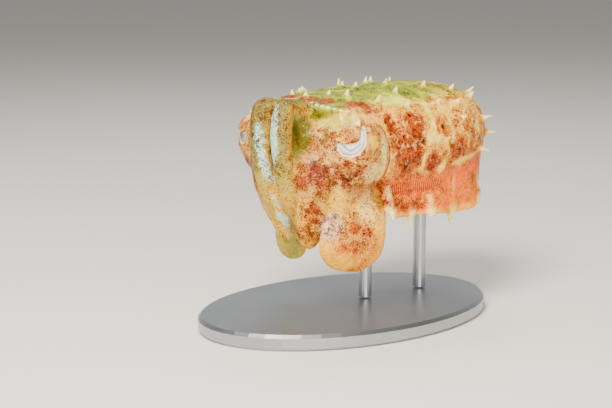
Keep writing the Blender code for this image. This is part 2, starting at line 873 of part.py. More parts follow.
def build():
    for obj in list(bpy.data.objects):
        bpy.data.objects.remove(obj)
    skin = material("mottled skin", (0.55, 0.24, 0.12), 0.45)
    pale_skin = material("pale arm skin", (0.62, 0.36, 0.22), 0.45)
    fin_skin = material("fin membrane", (0.66, 0.2, 0.09), 0.4)
    eye_surface = material("eye", (0.75, 0.72, 0.66), 0.15)
    stand_surface = material("satin steel", (0.6, 0.6, 0.62), 0.3, 1.0)

    head = joined(head_body(), brow_papillae() + [lid(s) for s in (1, -1)])
    sockets = [sphere("socket", from_head(eye_centre(s)), EYE_RADIUS + GAP) for s in (1, -1)]
    head = cut(head, sockets + [eye_opening(s) for s in (1, -1)])

    mantle = joined(mantle_body(), mantle_papillae())
    mantle = cut(mantle, head_cutters())

    fins = {side: cut(fin(side), [mantle_body(GAP)]) for side in (1, -1)}
    arm_nodes = []
    for i, arm in enumerate(ARMS):
        before = [other for other in ARMS[:i] if other.side == arm.side]
        for k, (start, end) in enumerate(arm_cut_points(arm)):
            piece = joined(arm_piece(arm, start, end), suckers(arm, start, end))
            cutters = head_cutters() + [arm_piece(other, 0.0, 1.0, GAP) for other in before]
            if k == 0:
                cutters.append(mantle_body(GAP))
            piece = cut(piece, cutters)
            place = ("base", "tip") if arm.lengths == 2 else ("base", "middle", "tip")
            side = "left" if arm.side > 0 else "right"
            arm_nodes.append((piece, f"arm_{arm.pair}_{side}_{place[k]}"))
    pipe = cut(funnel(), head_cutters() + [mantle_body(GAP)])

    finish(head, "head", skin)
    finish(mantle, "mantle", skin)
    for side, obj in fins.items():
        finish(obj, "fin_left" if side > 0 else "fin_right", fin_skin)
    for obj, name in arm_nodes:
        finish(obj, name, pale_skin)
    finish(pipe, "funnel", pale_skin)
    for side, name in ((1, "eye_left"), (-1, "eye_right")):
        finish(sphere(name, from_head(eye_centre(side)), EYE_RADIUS), name, eye_surface)
    for place, x in ROD_PLACES.items():
        finish(stand_rod(place, x), "stand_rod_" + place, stand_surface)
    finish(stand_base(), "stand_base", stand_surface)


build()
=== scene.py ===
"""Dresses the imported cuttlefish: one continuous mottled skin, wet eyes, suckers, stand and studio.

The flesh is one surface. Each body part is a form that says how far any point lies outside it, the
forms run into each other on a lattice, and the skin is drawn through the lattice where that
distance is nought. The same forms then say which part each point of the skin belongs to, so the
markings sit in the animal's own frame and are the same on both of its sides.

Sizes are in millimetres until a mesh is made. The animal faces -X and its left side is -Y.
"""

import itertools
import logging
import math
import random
from collections.abc import Callable
from dataclasses import dataclass, field
from enum import StrEnum
from functools import partial

import bpy
import numpy as np
from bpy.types import Material, Node, NodeSocket, NodeTree, Object, bpy_prop_collection
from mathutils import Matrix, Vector


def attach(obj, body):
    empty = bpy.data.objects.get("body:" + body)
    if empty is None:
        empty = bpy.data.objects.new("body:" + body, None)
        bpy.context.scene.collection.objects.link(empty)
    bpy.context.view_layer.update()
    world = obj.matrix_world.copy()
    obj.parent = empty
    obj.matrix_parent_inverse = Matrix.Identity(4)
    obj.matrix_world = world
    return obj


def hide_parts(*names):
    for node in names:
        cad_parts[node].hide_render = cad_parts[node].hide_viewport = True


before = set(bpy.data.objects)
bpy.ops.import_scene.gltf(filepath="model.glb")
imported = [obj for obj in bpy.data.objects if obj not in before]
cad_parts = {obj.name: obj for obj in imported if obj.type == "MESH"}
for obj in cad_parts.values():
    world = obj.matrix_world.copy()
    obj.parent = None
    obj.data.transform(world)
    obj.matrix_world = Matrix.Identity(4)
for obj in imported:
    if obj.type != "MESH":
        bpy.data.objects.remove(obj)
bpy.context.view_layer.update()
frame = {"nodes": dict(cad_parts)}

Array = np.ndarray
Amount = float | Array
Box = tuple[Array, Array]
Pair = tuple[float, float]
Triple = tuple[float, float, float]
Row = tuple[float, ...]

LOG = logging.getLogger("cuttlefish")
MM = 0.001
FAR = 6.0  # how far from every form the empty lattice is
THIN = 0.02  # the least half size that a section is divided by
TINY = 1e-9  # keeps a length or a sum off nought
LEAST_SIZE = 1e-4
UP = np.array((0.0, 0.0, 1.0))
GRAIN_VALUES = 4096
GRAIN_KEYS = (73856093, 19349663, 83492791)


# Small tools


def unit(vectors: Array) -> Array:
    """Vectors scaled to a length of one, along the last axis."""
    vectors = np.asarray(vectors, float)
    return vectors / np.maximum(np.linalg.norm(vectors, axis=-1, keepdims=True), TINY)


def ease(x: Array) -> Array:
    """A smooth step from 0 to 1 while x goes from 0 to 1."""
    x = np.clip(x, 0.0, 1.0)
    return x * x * (3 - 2 * x)


def rise(x: Array, start: float, end: float) -> Array:
    """A smooth step from 0 at start to 1 at end, which may be below start."""
    return ease((x - start) / (end - start))


def through(knots: Array, shares: Array) -> Array:
    """Points of a smooth curve through knots.

    Args:
        knots: the points to pass through, one a row.
        shares: how far along to look, from 0 at the first knot to 1 at the last.

    Returns:
        One point of the curve a share.
    """
    knots = np.asarray(knots, float)
    if knots.ndim == 1:
        knots = knots[:, None]
    place = np.clip(np.atleast_1d(shares), 0.0, 1.0) * (len(knots) - 1)
    i = np.minimum(place.astype(int), len(knots) - 2)
    t = (place - i)[:, None]
    a, b = knots[i], knots[i + 1]
    before, after = knots[np.maximum(i - 1, 0)], knots[np.minimum(i + 2, len(knots) - 1)]
    slope_a, slope_b = (b - before) / 2, (after - a) / 2
    return (
        (2 * t**3 - 3 * t**2 + 1) * a
        + (t**3 - 2 * t**2 + t) * slope_a
        + (3 * t**2 - 2 * t**3) * b
        + (t**3 - t**2) * slope_b
    )


def rounded_union(one: Array, two: Array, reach: Amount) -> Array:
    """Two distances joined, with a fillet of about reach where they meet."""
    share = np.clip(0.5 + 0.5 * (two - one) / reach, 0.0, 1.0)
    return two * (1 - share) + one * share - reach * share * (1 - share)


def rounded_cut(one: Array, two: Array, reach: float) -> Array:
    """What is left of one outside two, with its new edge rounded by reach."""
    return -rounded_union(-one, two, reach)


def squircle(across: Array, upward: Array, wide: Array, tall: Array, power: float) -> Array:
    """Roughly how far points lie outside a rounded-off oval section.

    Args:
        across, upward: where the points are, from the section's middle.
        wide, tall: the section's half sizes at each point.
        power: 2 for an ellipse, and more for a fuller section.

    Returns:
        The distance, negative inside.
    """
    wide, tall = np.maximum(wide, THIN), np.maximum(tall, THIN)
    a, b = np.abs(across) / wide, np.abs(upward) / tall
    size = np.maximum((a**power + b**power) ** (1 / power), LEAST_SIZE)
    slope_a = a ** (power - 1) / wide
    slope_b = b ** (power - 1) / tall
    slope = size ** (1 - power) * np.sqrt(slope_a**2 + slope_b**2)
    return (size - 1) / np.maximum(slope, 0.6 / np.maximum(wide, tall))


def grain(points: Array, size: float, seed: int) -> Array:
    """Smooth seeded noise from -1 to 1, with lumps of about size millimetres."""
    table = np.random.default_rng(seed).uniform(-1, 1, GRAIN_VALUES)
    place = points / size
    whole = np.floor(place).astype(np.int64)
    part = ease(place - whole)
    total = np.zeros(len(points))
    for corner in itertools.product((0, 1), repeat=3):
        keys = (whole + np.array(corner)) * np.array(GRAIN_KEYS)
        key = keys[:, 0] ^ keys[:, 1] ^ keys[:, 2]
        weight = np.prod(np.where(np.array(corner) == 1, part, 1 - part), axis=1)
        total += weight * table[key % len(table)]
    return total


def linear(colour: str) -> Array:
    """An sRGB hex colour as the linear red, green and blue that Blender works in."""
    values = np.array([int(colour[i : i + 2], 16) for i in (1, 3, 5)]) / 255
    return np.where(values <= 0.04045, values / 12.92, ((values + 0.055) / 1.055) ** 2.4)


def mixed(one: str | Array, two: str | Array, share: Array) -> Array:
    """Colours between one and two, which are sRGB hex or linear, one a row."""
    one, two = (linear(colour) if isinstance(colour, str) else colour for colour in (one, two))
    share = np.asarray(share)[:, None]
    return one * (1 - share) + two * share


# Forms of the body


@dataclass(frozen=True)
class HeadFrame:
    """The head's own frame: forward, to the animal's left, and up."""

    centre: Triple = (-7.4, 0.0, 34.0)
    turn: float = math.radians(11)

    def axes(self) -> Array:
        """Forward, left and up in the world, one a row."""
        c, s = math.cos(self.turn), math.sin(self.turn)
        return np.array(((-c, -s, 0.0), (s, -c, 0.0), (0.0, 0.0, 1.0)))

    def placed(self, points: Array) -> Array:
        """Points of the head's frame in the world."""
        return np.array(self.centre) + np.asarray(points, float) @ self.axes()

    def turned(self, directions: Array) -> Array:
        """Directions of the head's frame in the world."""
        return np.asarray(directions, float) @ self.axes()

    def read(self, points: Array) -> Array:
        """Points of the world in the head's frame."""
        return (points - np.array(self.centre)) @ self.axes().T


class Form:
    """Something solid on the lattice, known by how far any point lies outside it."""

    fillet: float = 0.6

    def box(self) -> Box:
        """The lowest and highest corner of all that the form can reach."""
        raise NotImplementedError

    def distance(self, points: Array) -> Array:
        """How far each point lies outside the form, negative inside."""
        raise NotImplementedError

    def reach(self, points: Array) -> Amount:
        """How wide a fillet joins the form to the rest, or rounds the edge that it cuts."""
        return self.fillet


@dataclass
class Head(Form):
    """The head: a skull, two eye bulges, cheeks, the roots of the arms and a neck."""

    frame: HeadFrame
    bulge_offset: float = 8.3
    bulge_rise: float = -0.3
    bulge_radius: float = 7.7
    softness: float = 2.0
    lid_radius: float = 4.6
    lid_fillet: float = 0.8
    spans: tuple[Pair, ...] = ((-15.5, 11.0), (-16.5, 16.5), (-13.5, 9.5))

    def ovals(self) -> list[tuple[Triple, Triple]]:
        """The head's ovals: middle and half sizes, in the head's frame."""
        bulge = (self.bulge_radius,) * 3
        return [
            ((-2.0, 0.0, -0.8), (10.0, 10.0, 7.4)),
            ((0.0, self.bulge_offset, self.bulge_rise), bulge),
            ((0.0, -self.bulge_offset, self.bulge_rise), bulge),
            ((4.4, 0.0, -6.0), (5.4, 7.2, 7.0)),
            ((0.0, 6.0, -8.0), (4.5, 5.0, 4.0)),
            ((0.0, -6.0, -8.0), (4.5, 5.0, 4.0)),
            ((-8.4, 2.1, 0.6), (6.6, 11.0, 6.6)),
        ]

    def box(self) -> Box:
        """The head's corners in the world."""
        corners = itertools.product(*self.spans)
        placed = self.frame.placed(np.array(list(corners)))
        return placed.min(0), placed.max(0)

    def distance(self, points: Array) -> Array:
        """The head's ovals, run into each other."""
        local = self.frame.read(points)
        total = None
        for middle, radii in self.ovals():
            away = (local - np.array(middle)) / np.array(radii)
            first = np.linalg.norm(away, axis=1)
            second = np.maximum(np.linalg.norm(away / np.array(radii), axis=1), TINY)
            one = first * (first - 1) / second
            total = one if total is None else rounded_union(total, one, self.softness)
        return total


@dataclass
class Mantle(Form):
    """The torso, with the open collar that the neck goes into."""

    head: Head
    axis_height: float = 34.0
    tail_lift: float = 1.6
    widest_x: float = 8.0
    tail_x: float = 31.3
    collar_tip_x: float = -14.0
    collar_side_x: float = -2.8
    collar_belly_x: float = -0.5
    half_width: float = 15.6
    back_height: float = 10.4
    belly_depth: float = 11.2
    fullness: float = 2.35
    lip: float = 1.0
    pocket: float = 3.2
    clearance: float = 0.34
    head_ends_x: float = 8.0
    flank_power: float = 2.5
    back_power: float = 2.7
    end_power: float = 0.54
    front_narrowing: float = 0.1
    front_lowering: float = 0.16
    edge_slope: float = 0.85
    edge_rounding: float = 0.7
    hollow_rounding: float = 0.4
    crease_rounding: float = 0.2
    fillet: float = 1.2
    least_fillet: float = 0.1
    nape_fillet: float = 1.6
    nape_heights: Pair = (38.0, 41.0)
    spine_fillet: float = 1.4
    spine_sides: Pair = (8.0, 5.0)
    lip_growth: float = 0.45
    crease_reach: float = 3.0

    def box(self) -> Box:
        """The mantle's corners."""
        low = (self.collar_tip_x, -self.half_width, self.axis_height - self.belly_depth)
        high = (self.tail_x, self.half_width, self.axis_height + self.back_height + 1.0)
        return np.array(low), np.array(high)

    def axis(self, x: Array) -> Array:
        """The height of the middle line, which rises a little to the tail."""
        return self.axis_height + self.tail_lift * rise(x, self.widest_x, self.tail_x)

    def sizes(self, x: Array) -> tuple[Array, Array, Array]:
        """Half width, height of the back and depth of the belly at each x."""
        tail = np.clip((x - self.widest_x) / (self.tail_x - self.widest_x), 0.0, 1.0)
        front = np.clip((self.widest_x - x) / (self.widest_x - self.collar_tip_x), 0.0, 1.5)
        wide = (1 - tail**self.flank_power) ** self.end_power * (1 - self.front_narrowing * front**2)
        tall = (1 - tail**self.back_power) ** self.end_power * (1 - self.front_lowering * front**2)
        return self.half_width * wide, self.back_height * tall, self.belly_depth * tall

    def point(self, x: Array, around: Array, grow: float = 0.0) -> Array:
        """Points of the skin. around runs in radians from the left side, 0, over the back."""
        wide, back, belly = self.sizes(x)
        c, s = np.cos(around), np.sin(around)
        power = 2 / self.fullness
        height = np.where(s > 0, back, belly) + grow
        y = -(wide + grow) * np.copysign(np.abs(c) ** power, c)
        z = self.axis(x) + height * np.copysign(np.abs(s) ** power, s)
        return np.stack(np.broadcast_arrays(x, y, z), axis=-1)

    def normal(self, x: Array, around: Array) -> Array:
        """Which way the skin faces at each place."""
        step = 0.02
        along = self.point(x + step, around) - self.point(x - step, around)
        turning = self.point(x, around + step) - self.point(x, around - step)
        return unit(np.cross(along, turning))

    def section(self, points: Array) -> tuple[Array, Array, Array]:
        """Half width at each point, its height over the middle line, and half height that way."""
        wide, back, belly = self.sizes(points[:, 0])
        height = points[:, 2] - self.axis(points[:, 0])
        return wide, height, np.where(height > 0, back, belly)

    def turn(self, points: Array) -> tuple[Array, Array]:
        """The square of the sine of around at each point, and whether it is on the back's side."""
        wide, height, tall = self.section(points)
        a = np.abs(points[:, 1]) / np.maximum(wide, THIN)
        b = np.abs(height) / np.maximum(tall, THIN)
        size = np.maximum((a**self.fullness + b**self.fullness) ** (1 / self.fullness), LEAST_SIZE)
        return (b / size) ** self.fullness, height >= 0

    def around(self, points: Array) -> Array:
        """Degrees round the mantle from its side, 90 on the back and -90 on the belly."""
        sine, up = self.turn(points)
        sine = np.clip(sine, 0.0, 1.0)
        return np.degrees(np.arctan2(np.sqrt(sine), np.sqrt(1 - sine))) * np.where(up, 1, -1)

    def collar_gap(self, points: Array) -> Array:
        """How far each point lies in front of the collar's free edge, along X."""
        sine, up = self.turn(points)
        far = np.where(up, self.collar_tip_x, self.collar_belly_x)
        return self.collar_side_x + (far - self.collar_side_x) * sine - points[:, 0]

    def shell(self, points: Array) -> Array:
        """The mantle's outside, without its collar."""
        wide, height, tall = self.section(points)
        step = 0.15
        thinner = self.sizes(points[:, 0] + step)[0]
        slope = np.clip((wide - thinner) / step, 0.0, 5.0)
        beyond = np.maximum(points[:, 0] - self.tail_x, 0.0)
        flat = squircle(points[:, 1], height, wide, tall, self.fullness) / np.sqrt(1 + slope**2)
        return np.where(beyond > 0, np.hypot(np.maximum(flat, 0.0), beyond), flat)

    def distance(self, points: Array) -> Array:
        """The mantle with its collar, kept clear of the head near the collar's edge."""
        shell = self.shell(points)
        gap = self.collar_gap(points)
        body = rounded_cut(shell, -gap * self.edge_slope, self.edge_rounding)
        wall = self.lip + self.lip_growth * np.clip(-gap, 0.0, self.pocket)
        hollow = np.maximum(shell + wall, -gap - self.pocket)
        body = rounded_cut(body, hollow, self.hollow_rounding)
        fold = self.fold(shell, gap)
        near = (fold > 0) & (np.abs(body) < self.crease_reach) & (points[:, 0] < self.head_ends_x)
        if near.any():
            groove = self.head.distance(points[near]) - self.clearance * fold[near]
            body[near] = rounded_cut(body[near], groove, self.crease_rounding)
        return body

    def fold(self, shell: Array, gap: Array) -> Array:
        """How open the crease between mantle and head is, from 1 at its mouth to 0 inside."""
        return np.clip(1 + np.maximum(shell, gap) / self.pocket, 0.0, 1.0)

    def reach(self, points: Array) -> Amount:
        """Next to nothing where the crease is open, and a wide fillet inside."""
        spine = self.spine_fillet * rise(np.abs(points[:, 1]), *self.spine_sides)
        nape = rise(points[:, 2], *self.nape_heights) * (self.nape_fillet + spine)
        closed = 1 - self.fold(self.shell(points), self.collar_gap(points))
        return self.least_fillet + nape + self.fillet * closed


@dataclass
class Arm(Form):
    """One arm: its line in the head's frame, and how broad and deep it is along that line."""

    frame: HeadFrame
    pair: str
    side: int
    line: Array
    outward: Array
    half_widths: Row
    half_depths: Row
    fullness: float = 2.3
    fillet: float = 0.5
    root_fillet: float = 2.4
    root_heights: Pair = (-13.0, -6.0)
    crown_heights: Pair = (3.0, 6.5)
    crown_loss: float = 0.6
    gusset_fillet: float = 2.2
    gusset_from: Pair = (-4.0, 0.0)
    gusset_to: Pair = (7.0, 4.5)
    face_ends: Pair = (11.4, 9.8)
    tip_starts: float = 0.8
    tip_depth: float = 0.35
    count: int = 72
    shares: Array = field(init=False)
    middles: Array = field(init=False)
    tangents: Array = field(init=False)
    sideways: Array = field(init=False)
    outwards: Array = field(init=False)

    def __post_init__(self) -> None:
        """Works out the stations along the arm."""
        self.shares = np.linspace(0.0, 1.0, self.count)
        step = 0.01
        self.middles = through(self.line, self.shares)
        ahead, behind = through(self.line, self.shares + step), through(self.line, self.shares - step)
        self.tangents = unit(ahead - behind)
        outward = through(self.outward, self.shares)
        along = np.sum(outward * self.tangents, axis=1, keepdims=True)
        self.outwards = unit(outward - self.tangents * along)
        self.sideways = np.cross(self.tangents, self.outwards)

    @property
    def gusset(self) -> float:
        """How much more the first pair fills the hollow behind it."""
        return self.gusset_fillet if self.pair == "first" else 0.0

    def sizes(self, shares: Array) -> tuple[Array, Array]:
        """Half width and half depth, rounded off at the tip."""
        into_tip = np.maximum(shares - self.tip_starts, 0.0) / (1 - self.tip_starts)
        round_off = np.sqrt(np.maximum(1 - into_tip**2, 0.0))
        wide = through(np.array(self.half_widths), shares)[:, 0] * round_off
        deep = through(np.array(self.half_depths), shares)[:, 0]
        return wide, deep * (self.tip_depth + (1 - self.tip_depth) * round_off)

    def box(self) -> Box:
        """The arm's corners in the world."""
        wide = max(self.half_widths) + self.fillet + self.root_fillet + self.gusset
        placed = self.frame.placed(self.middles)
        return placed.min(0) - wide, placed.max(0) + wide

    def coordinates(self, points: Array) -> tuple[Array, ...]:
        """Where points lie on the arm.

        Args:
            points: points of the world.

        Returns:
            The share along the arm, the offsets sideways and outward, and how far a point lies
            beyond the arm's tip or behind its root.
        """
        local = self.frame.read(points)
        nearest = np.zeros(len(local), int)
        best = np.full(len(local), np.inf)
        for i, middle in enumerate(self.middles):
            away = np.sum((local - middle) ** 2, axis=1)
            closer = away < best
            best[closer] = away[closer]
            nearest[closer] = i
        away = local - self.middles[nearest]
        along = np.sum(away * self.tangents[nearest], axis=1)
        spacing = np.linalg.norm(np.diff(self.middles, axis=0), axis=1).mean() * (self.count - 1)
        share = self.shares[nearest] + along / spacing
        sideways = np.sum(away * self.sideways[nearest], axis=1)
        outward = np.sum(away * self.outwards[nearest], axis=1)
        return share, sideways, outward, np.maximum(share - 1, -share) * spacing

    def distance(self, points: Array) -> Array:
        """The arm's flattened body."""
        share, sideways, outward, beyond = self.coordinates(points)
        wide, deep = self.sizes(np.clip(share, 0.0, 1.0))
        return np.maximum(squircle(sideways, outward, wide, deep, self.fullness), beyond)

    def reach(self, points: Array) -> Amount:
        """Wide where the arms grow out of the head, narrow where they hang free."""
        forward, _, height = self.frame.read(points).T
        low = self.root_fillet * rise(height, *self.root_heights)
        low = low * (1 - self.crown_loss * rise(height, *self.crown_heights))
        middle = self.gusset * rise(height, *self.gusset_from) * rise(height, *self.gusset_to)
        return self.fillet + (low + middle) * rise(forward, *self.face_ends)


@dataclass
class Fin(Form):
    """The thin skirt along one side of the mantle, hanging down to a wavy edge."""

    mantle: Mantle
    side: int
    start_x: float = -2.2
    end_x: float = 26.4
    width: float = 6.0
    root: float = 1.5
    edge: float = 0.6
    rear_growth: float = 0.42
    sunk: float = 0.6
    wave: float = 0.7
    waves: float = 2.6
    phase: float = 0.6
    root_below: float = 33.0
    root_lift: float = 3.0
    front_flare: float = 0.22
    front_share: float = 0.75
    rim_rounding: float = 0.5
    camber: float = 0.15
    fillet: float = 1.0
    span_y: Pair = (9.0, 17.5)
    span_z: Pair = (17.5, 31.0)

    def frames(self, x: Array) -> tuple[Array, Array, Array, Array]:
        """Root point, way down, way out of the face and width at each x, for the left fin."""
        share = (x - self.start_x) / (self.end_x - self.start_x)
        around = -np.radians(self.root_below - self.root_lift * ease((x - self.start_x) / 26.0))
        root = self.mantle.point(x, around, -self.sunk)
        normal = self.mantle.normal(x, around)
        down = unit(np.array((0.0, -0.06, -1.0)) + self.front_flare * normal * (1 - share)[:, None])
        face = unit(np.cross(down, np.array((1.0, 0.0, 0.0))))
        face = face * np.where(face[:, 1:2] > 0, -1.0, 1.0)
        front = self.front_share + (1 - self.front_share) * ease(share / 0.08)
        rear = 1 + self.rear_growth * rise(share, 0.3, 0.9)
        wide = self.width * front * rear * (1 - 0.12 * rise(share, 0.92, 1.0))
        return root, down, face, wide + self.sunk

    def sway(self, share: Amount) -> Amount:
        """How far the wavy edge stands out of the fin's middle face."""
        return self.wave * np.sin(2 * math.pi * self.waves * share + self.phase)

    def box(self) -> Box:
        """The fin's corners."""
        sides = sorted(-self.side * y for y in self.span_y)
        low, high = zip((self.start_x, self.end_x), sides, self.span_z)
        return np.array(low), np.array(high)

    def coordinates(self, points: Array) -> tuple[Array, ...]:
        """Share along the fin, share from root to edge, offset from its middle, and width."""
        table = np.linspace(self.start_x, self.end_x, 90)
        root, down, face, wide = self.frames(table)
        x = np.clip(points[:, 0], self.start_x, self.end_x)
        local = points * np.array((1.0, self.side, 1.0))

        def at(values: Array) -> Array:
            """A table's columns read at each point's x."""
            return np.stack([np.interp(x, table, column) for column in values.T], axis=1)

        away = local - at(root)
        away[:, 0] = 0.0
        width = np.interp(x, table, wide)
        out = np.sum(away * at(down), axis=1) / width
        offset = np.sum(away * at(face), axis=1)
        share = (x - self.start_x) / (self.end_x - self.start_x)
        offset = offset - self.sway(share) * np.clip(out, 0.0, 1.3) ** 1.6
        return share, out, offset, width

    def distance(self, points: Array) -> Array:
        """The fin's sheet, thinner towards its edge."""
        _, out, offset, width = self.coordinates(points)
        thick = self.root + (self.edge - self.root) * np.clip(out, 0.0, 1.0) ** 0.7
        flat = np.abs(offset - thick * self.camber) - thick / 2
        ends = np.maximum(self.start_x - points[:, 0], points[:, 0] - self.end_x)
        sheet = rounded_cut(flat, -(out - 1) * width, self.rim_rounding)
        return np.maximum(np.maximum(sheet, ends), (-out - 0.1) * width)


@dataclass
class Taper(Form):
    """A round point or rod whose thickness changes from end to end."""

    start: Array
    end: Array
    start_radius: float
    end_radius: float
    fillet: float = 0.7

    def box(self) -> Box:
        """The corners of the taper."""
        widest = max(self.start_radius, self.end_radius)
        return np.minimum(self.start, self.end) - widest, np.maximum(self.start, self.end) + widest

    def distance(self, points: Array) -> Array:
        """The distance to the taper's side."""
        line = self.end - self.start
        share = np.clip((points - self.start) @ line / (line @ line), 0.0, 1.0)
        away = np.linalg.norm(points - self.start - share[:, None] * line, axis=1)
        return away - (self.start_radius + (self.end_radius - self.start_radius) * share)


@dataclass
class Funnel(Form):
    """The flattened tube under the neck, narrowing to a round open nozzle."""

    frame: HeadFrame
    line: tuple[Triple, ...] = (
        (-9.0, 0.0, -7.2), (-6.0, 0.0, -8.6), (-2.5, 0.0, -11.0), (0.6, 0.0, -13.2),
    )
    half_widths: Row = (4.2, 3.6, 2.6, 2.1)
    half_depths: Row = (1.5, 1.9, 2.1, 2.0)
    bore: float = 1.4
    bore_depth: float = 3.2
    mouth_rounding: float = 0.5
    bore_rounding: float = 0.3
    fillet: float = 0.8

    def tube(self) -> Arm:
        """The funnel's outside as a flattened body along its line."""
        outward = ((0.0, 0.0, 1.0),) * 2
        made = Arm(
            self.frame, "funnel", 1, np.array(self.line), np.array(outward),
            self.half_widths, self.half_depths, fullness=2.0, count=30,
        )
        return made

    def box(self) -> Box:
        """The funnel's corners in the world."""
        return self.tube().box()

    def distance(self, points: Array) -> Array:
        """The tube, with its nozzle hollowed."""
        tube = self.tube()
        share, sideways, outward, beyond = tube.coordinates(points)
        along = np.clip(share, 0.0, 1.0)
        wide = through(np.array(self.half_widths), along)[:, 0]
        deep = through(np.array(self.half_depths), along)[:, 0]
        oval = squircle(sideways, outward, wide, deep, 2.0)
        body = rounded_cut(oval, -beyond, self.mouth_rounding)
        hollow = np.maximum(np.hypot(sideways, outward) - self.bore, -beyond - self.bore_depth)
        return rounded_cut(body, hollow, self.bore_rounding)


@dataclass(frozen=True)
class EyeSite:
    """Where one eye sits, and the outline of its opening between the lids.

    The opening is a crescent under a tongue of skin, drawn as a line whose breadth changes. Its
    places are across and up from the eye's middle, in millimetres on the lids.
    """

    frame: HeadFrame
    side: int
    radius: float = 3.7
    bulge_offset: float = 8.3
    rise: float = 1.2
    depth: float = 4.0
    aim: float = math.radians(49)
    lid_radius: float = 4.3
    opening: tuple[Triple, ...] = (
        (-3.0, 0.62, 0.16), (-2.62, -0.08, 0.48), (-1.98, -0.29, 0.88), (-1.20, -0.32, 1.04),
        (-0.33, -0.17, 0.98), (0.50, 0.32, 0.8), (1.10, 1.05, 0.6), (1.40, 1.97, 0.46),
        (1.52, 2.90, 0.38), (1.62, 3.35, 0.24),
    )
    slit: tuple[Pair, ...] = (
        (-2.47, 0.47), (-1.87, -0.22), (-1.13, -0.49), (-0.51, -0.21), (0.27, 0.41), (0.97, 0.87),
    )

    def axis(self) -> Array:
        """The way that the eye looks, in the head's frame."""
        return np.array((math.cos(self.aim), self.side * math.sin(self.aim), 0.0))

    def across(self) -> Array:
        """The way to the rear, square to the eye's axis, in the head's frame."""
        axis = self.axis()
        return np.array((-self.side * axis[1], self.side * axis[0], 0.0))

    def centre(self) -> Array:
        """The eyeball's middle, in the head's frame."""
        return np.array((0.0, self.side * self.bulge_offset, self.rise)) + self.axis() * self.depth

    def world(self) -> tuple[Array, Array, Array]:
        """The eyeball's middle, its axis and the way across, in the world."""
        place = self.frame.placed(self.centre())
        return place, self.frame.turned(self.axis()), self.frame.turned(self.across())

    def read(self, points: Array) -> tuple[Array, Array, Array, Array]:
        """Places across and up on the lids, how far to the front, and distance from the middle."""
        place, axis, across = self.world()
        away = points - place
        radius = np.maximum(np.linalg.norm(away, axis=1), 1e-6)
        scale = self.lid_radius / radius
        return away @ across * scale, away @ UP * scale, away @ axis * scale, radius

    def crescent(self, across: Array, up: Array) -> Array:
        """How far places on the lids lie outside the opening."""
        return stroke(np.stack((across, up), axis=1), np.array(self.opening))


def stroke(places: Array, line: Array) -> Array:
    """How far flat places lie outside a drawn line.

    Args:
        places: the places to look at, two numbers a row.
        line: the line's corners, each with half its breadth there.

    Returns:
        The distance, negative on the line.
    """
    total = np.full(len(places), np.inf)
    for one, two in zip(line, line[1:]):
        step = two[:2] - one[:2]
        share = np.clip((places - one[:2]) @ step / (step @ step), 0.0, 1.0)
        away = np.linalg.norm(places - one[:2] - share[:, None] * step, axis=1)
        total = np.minimum(total, away - one[2] - (two[2] - one[2]) * share)
    return total


@dataclass
class EyeOpening(Form):
    """The cut between the lids, down to the eyeball, its mouth wider than its floor."""

    site: EyeSite
    flare: float = 0.5
    ends_at: float = 6.4
    half_box: float = 6.0
    floor_gap: float = 0.35
    fillet: float = 0.22

    def box(self) -> Box:
        """A box round the eye."""
        place = self.site.world()[0]
        return place - self.half_box, place + self.half_box

    def distance(self, points: Array) -> Array:
        """The crescent, from the eyeball outward."""
        across, up, front, radius = self.site.read(points)
        bevel = self.flare * np.maximum(radius - self.site.radius, 0.0)
        floor = self.site.radius - self.floor_gap - radius
        cut = np.maximum(self.site.crescent(across, up) - bevel, floor)
        cut = np.maximum(cut, radius - self.ends_at)
        return np.where(front > 0, cut, FAR)


# The lattice


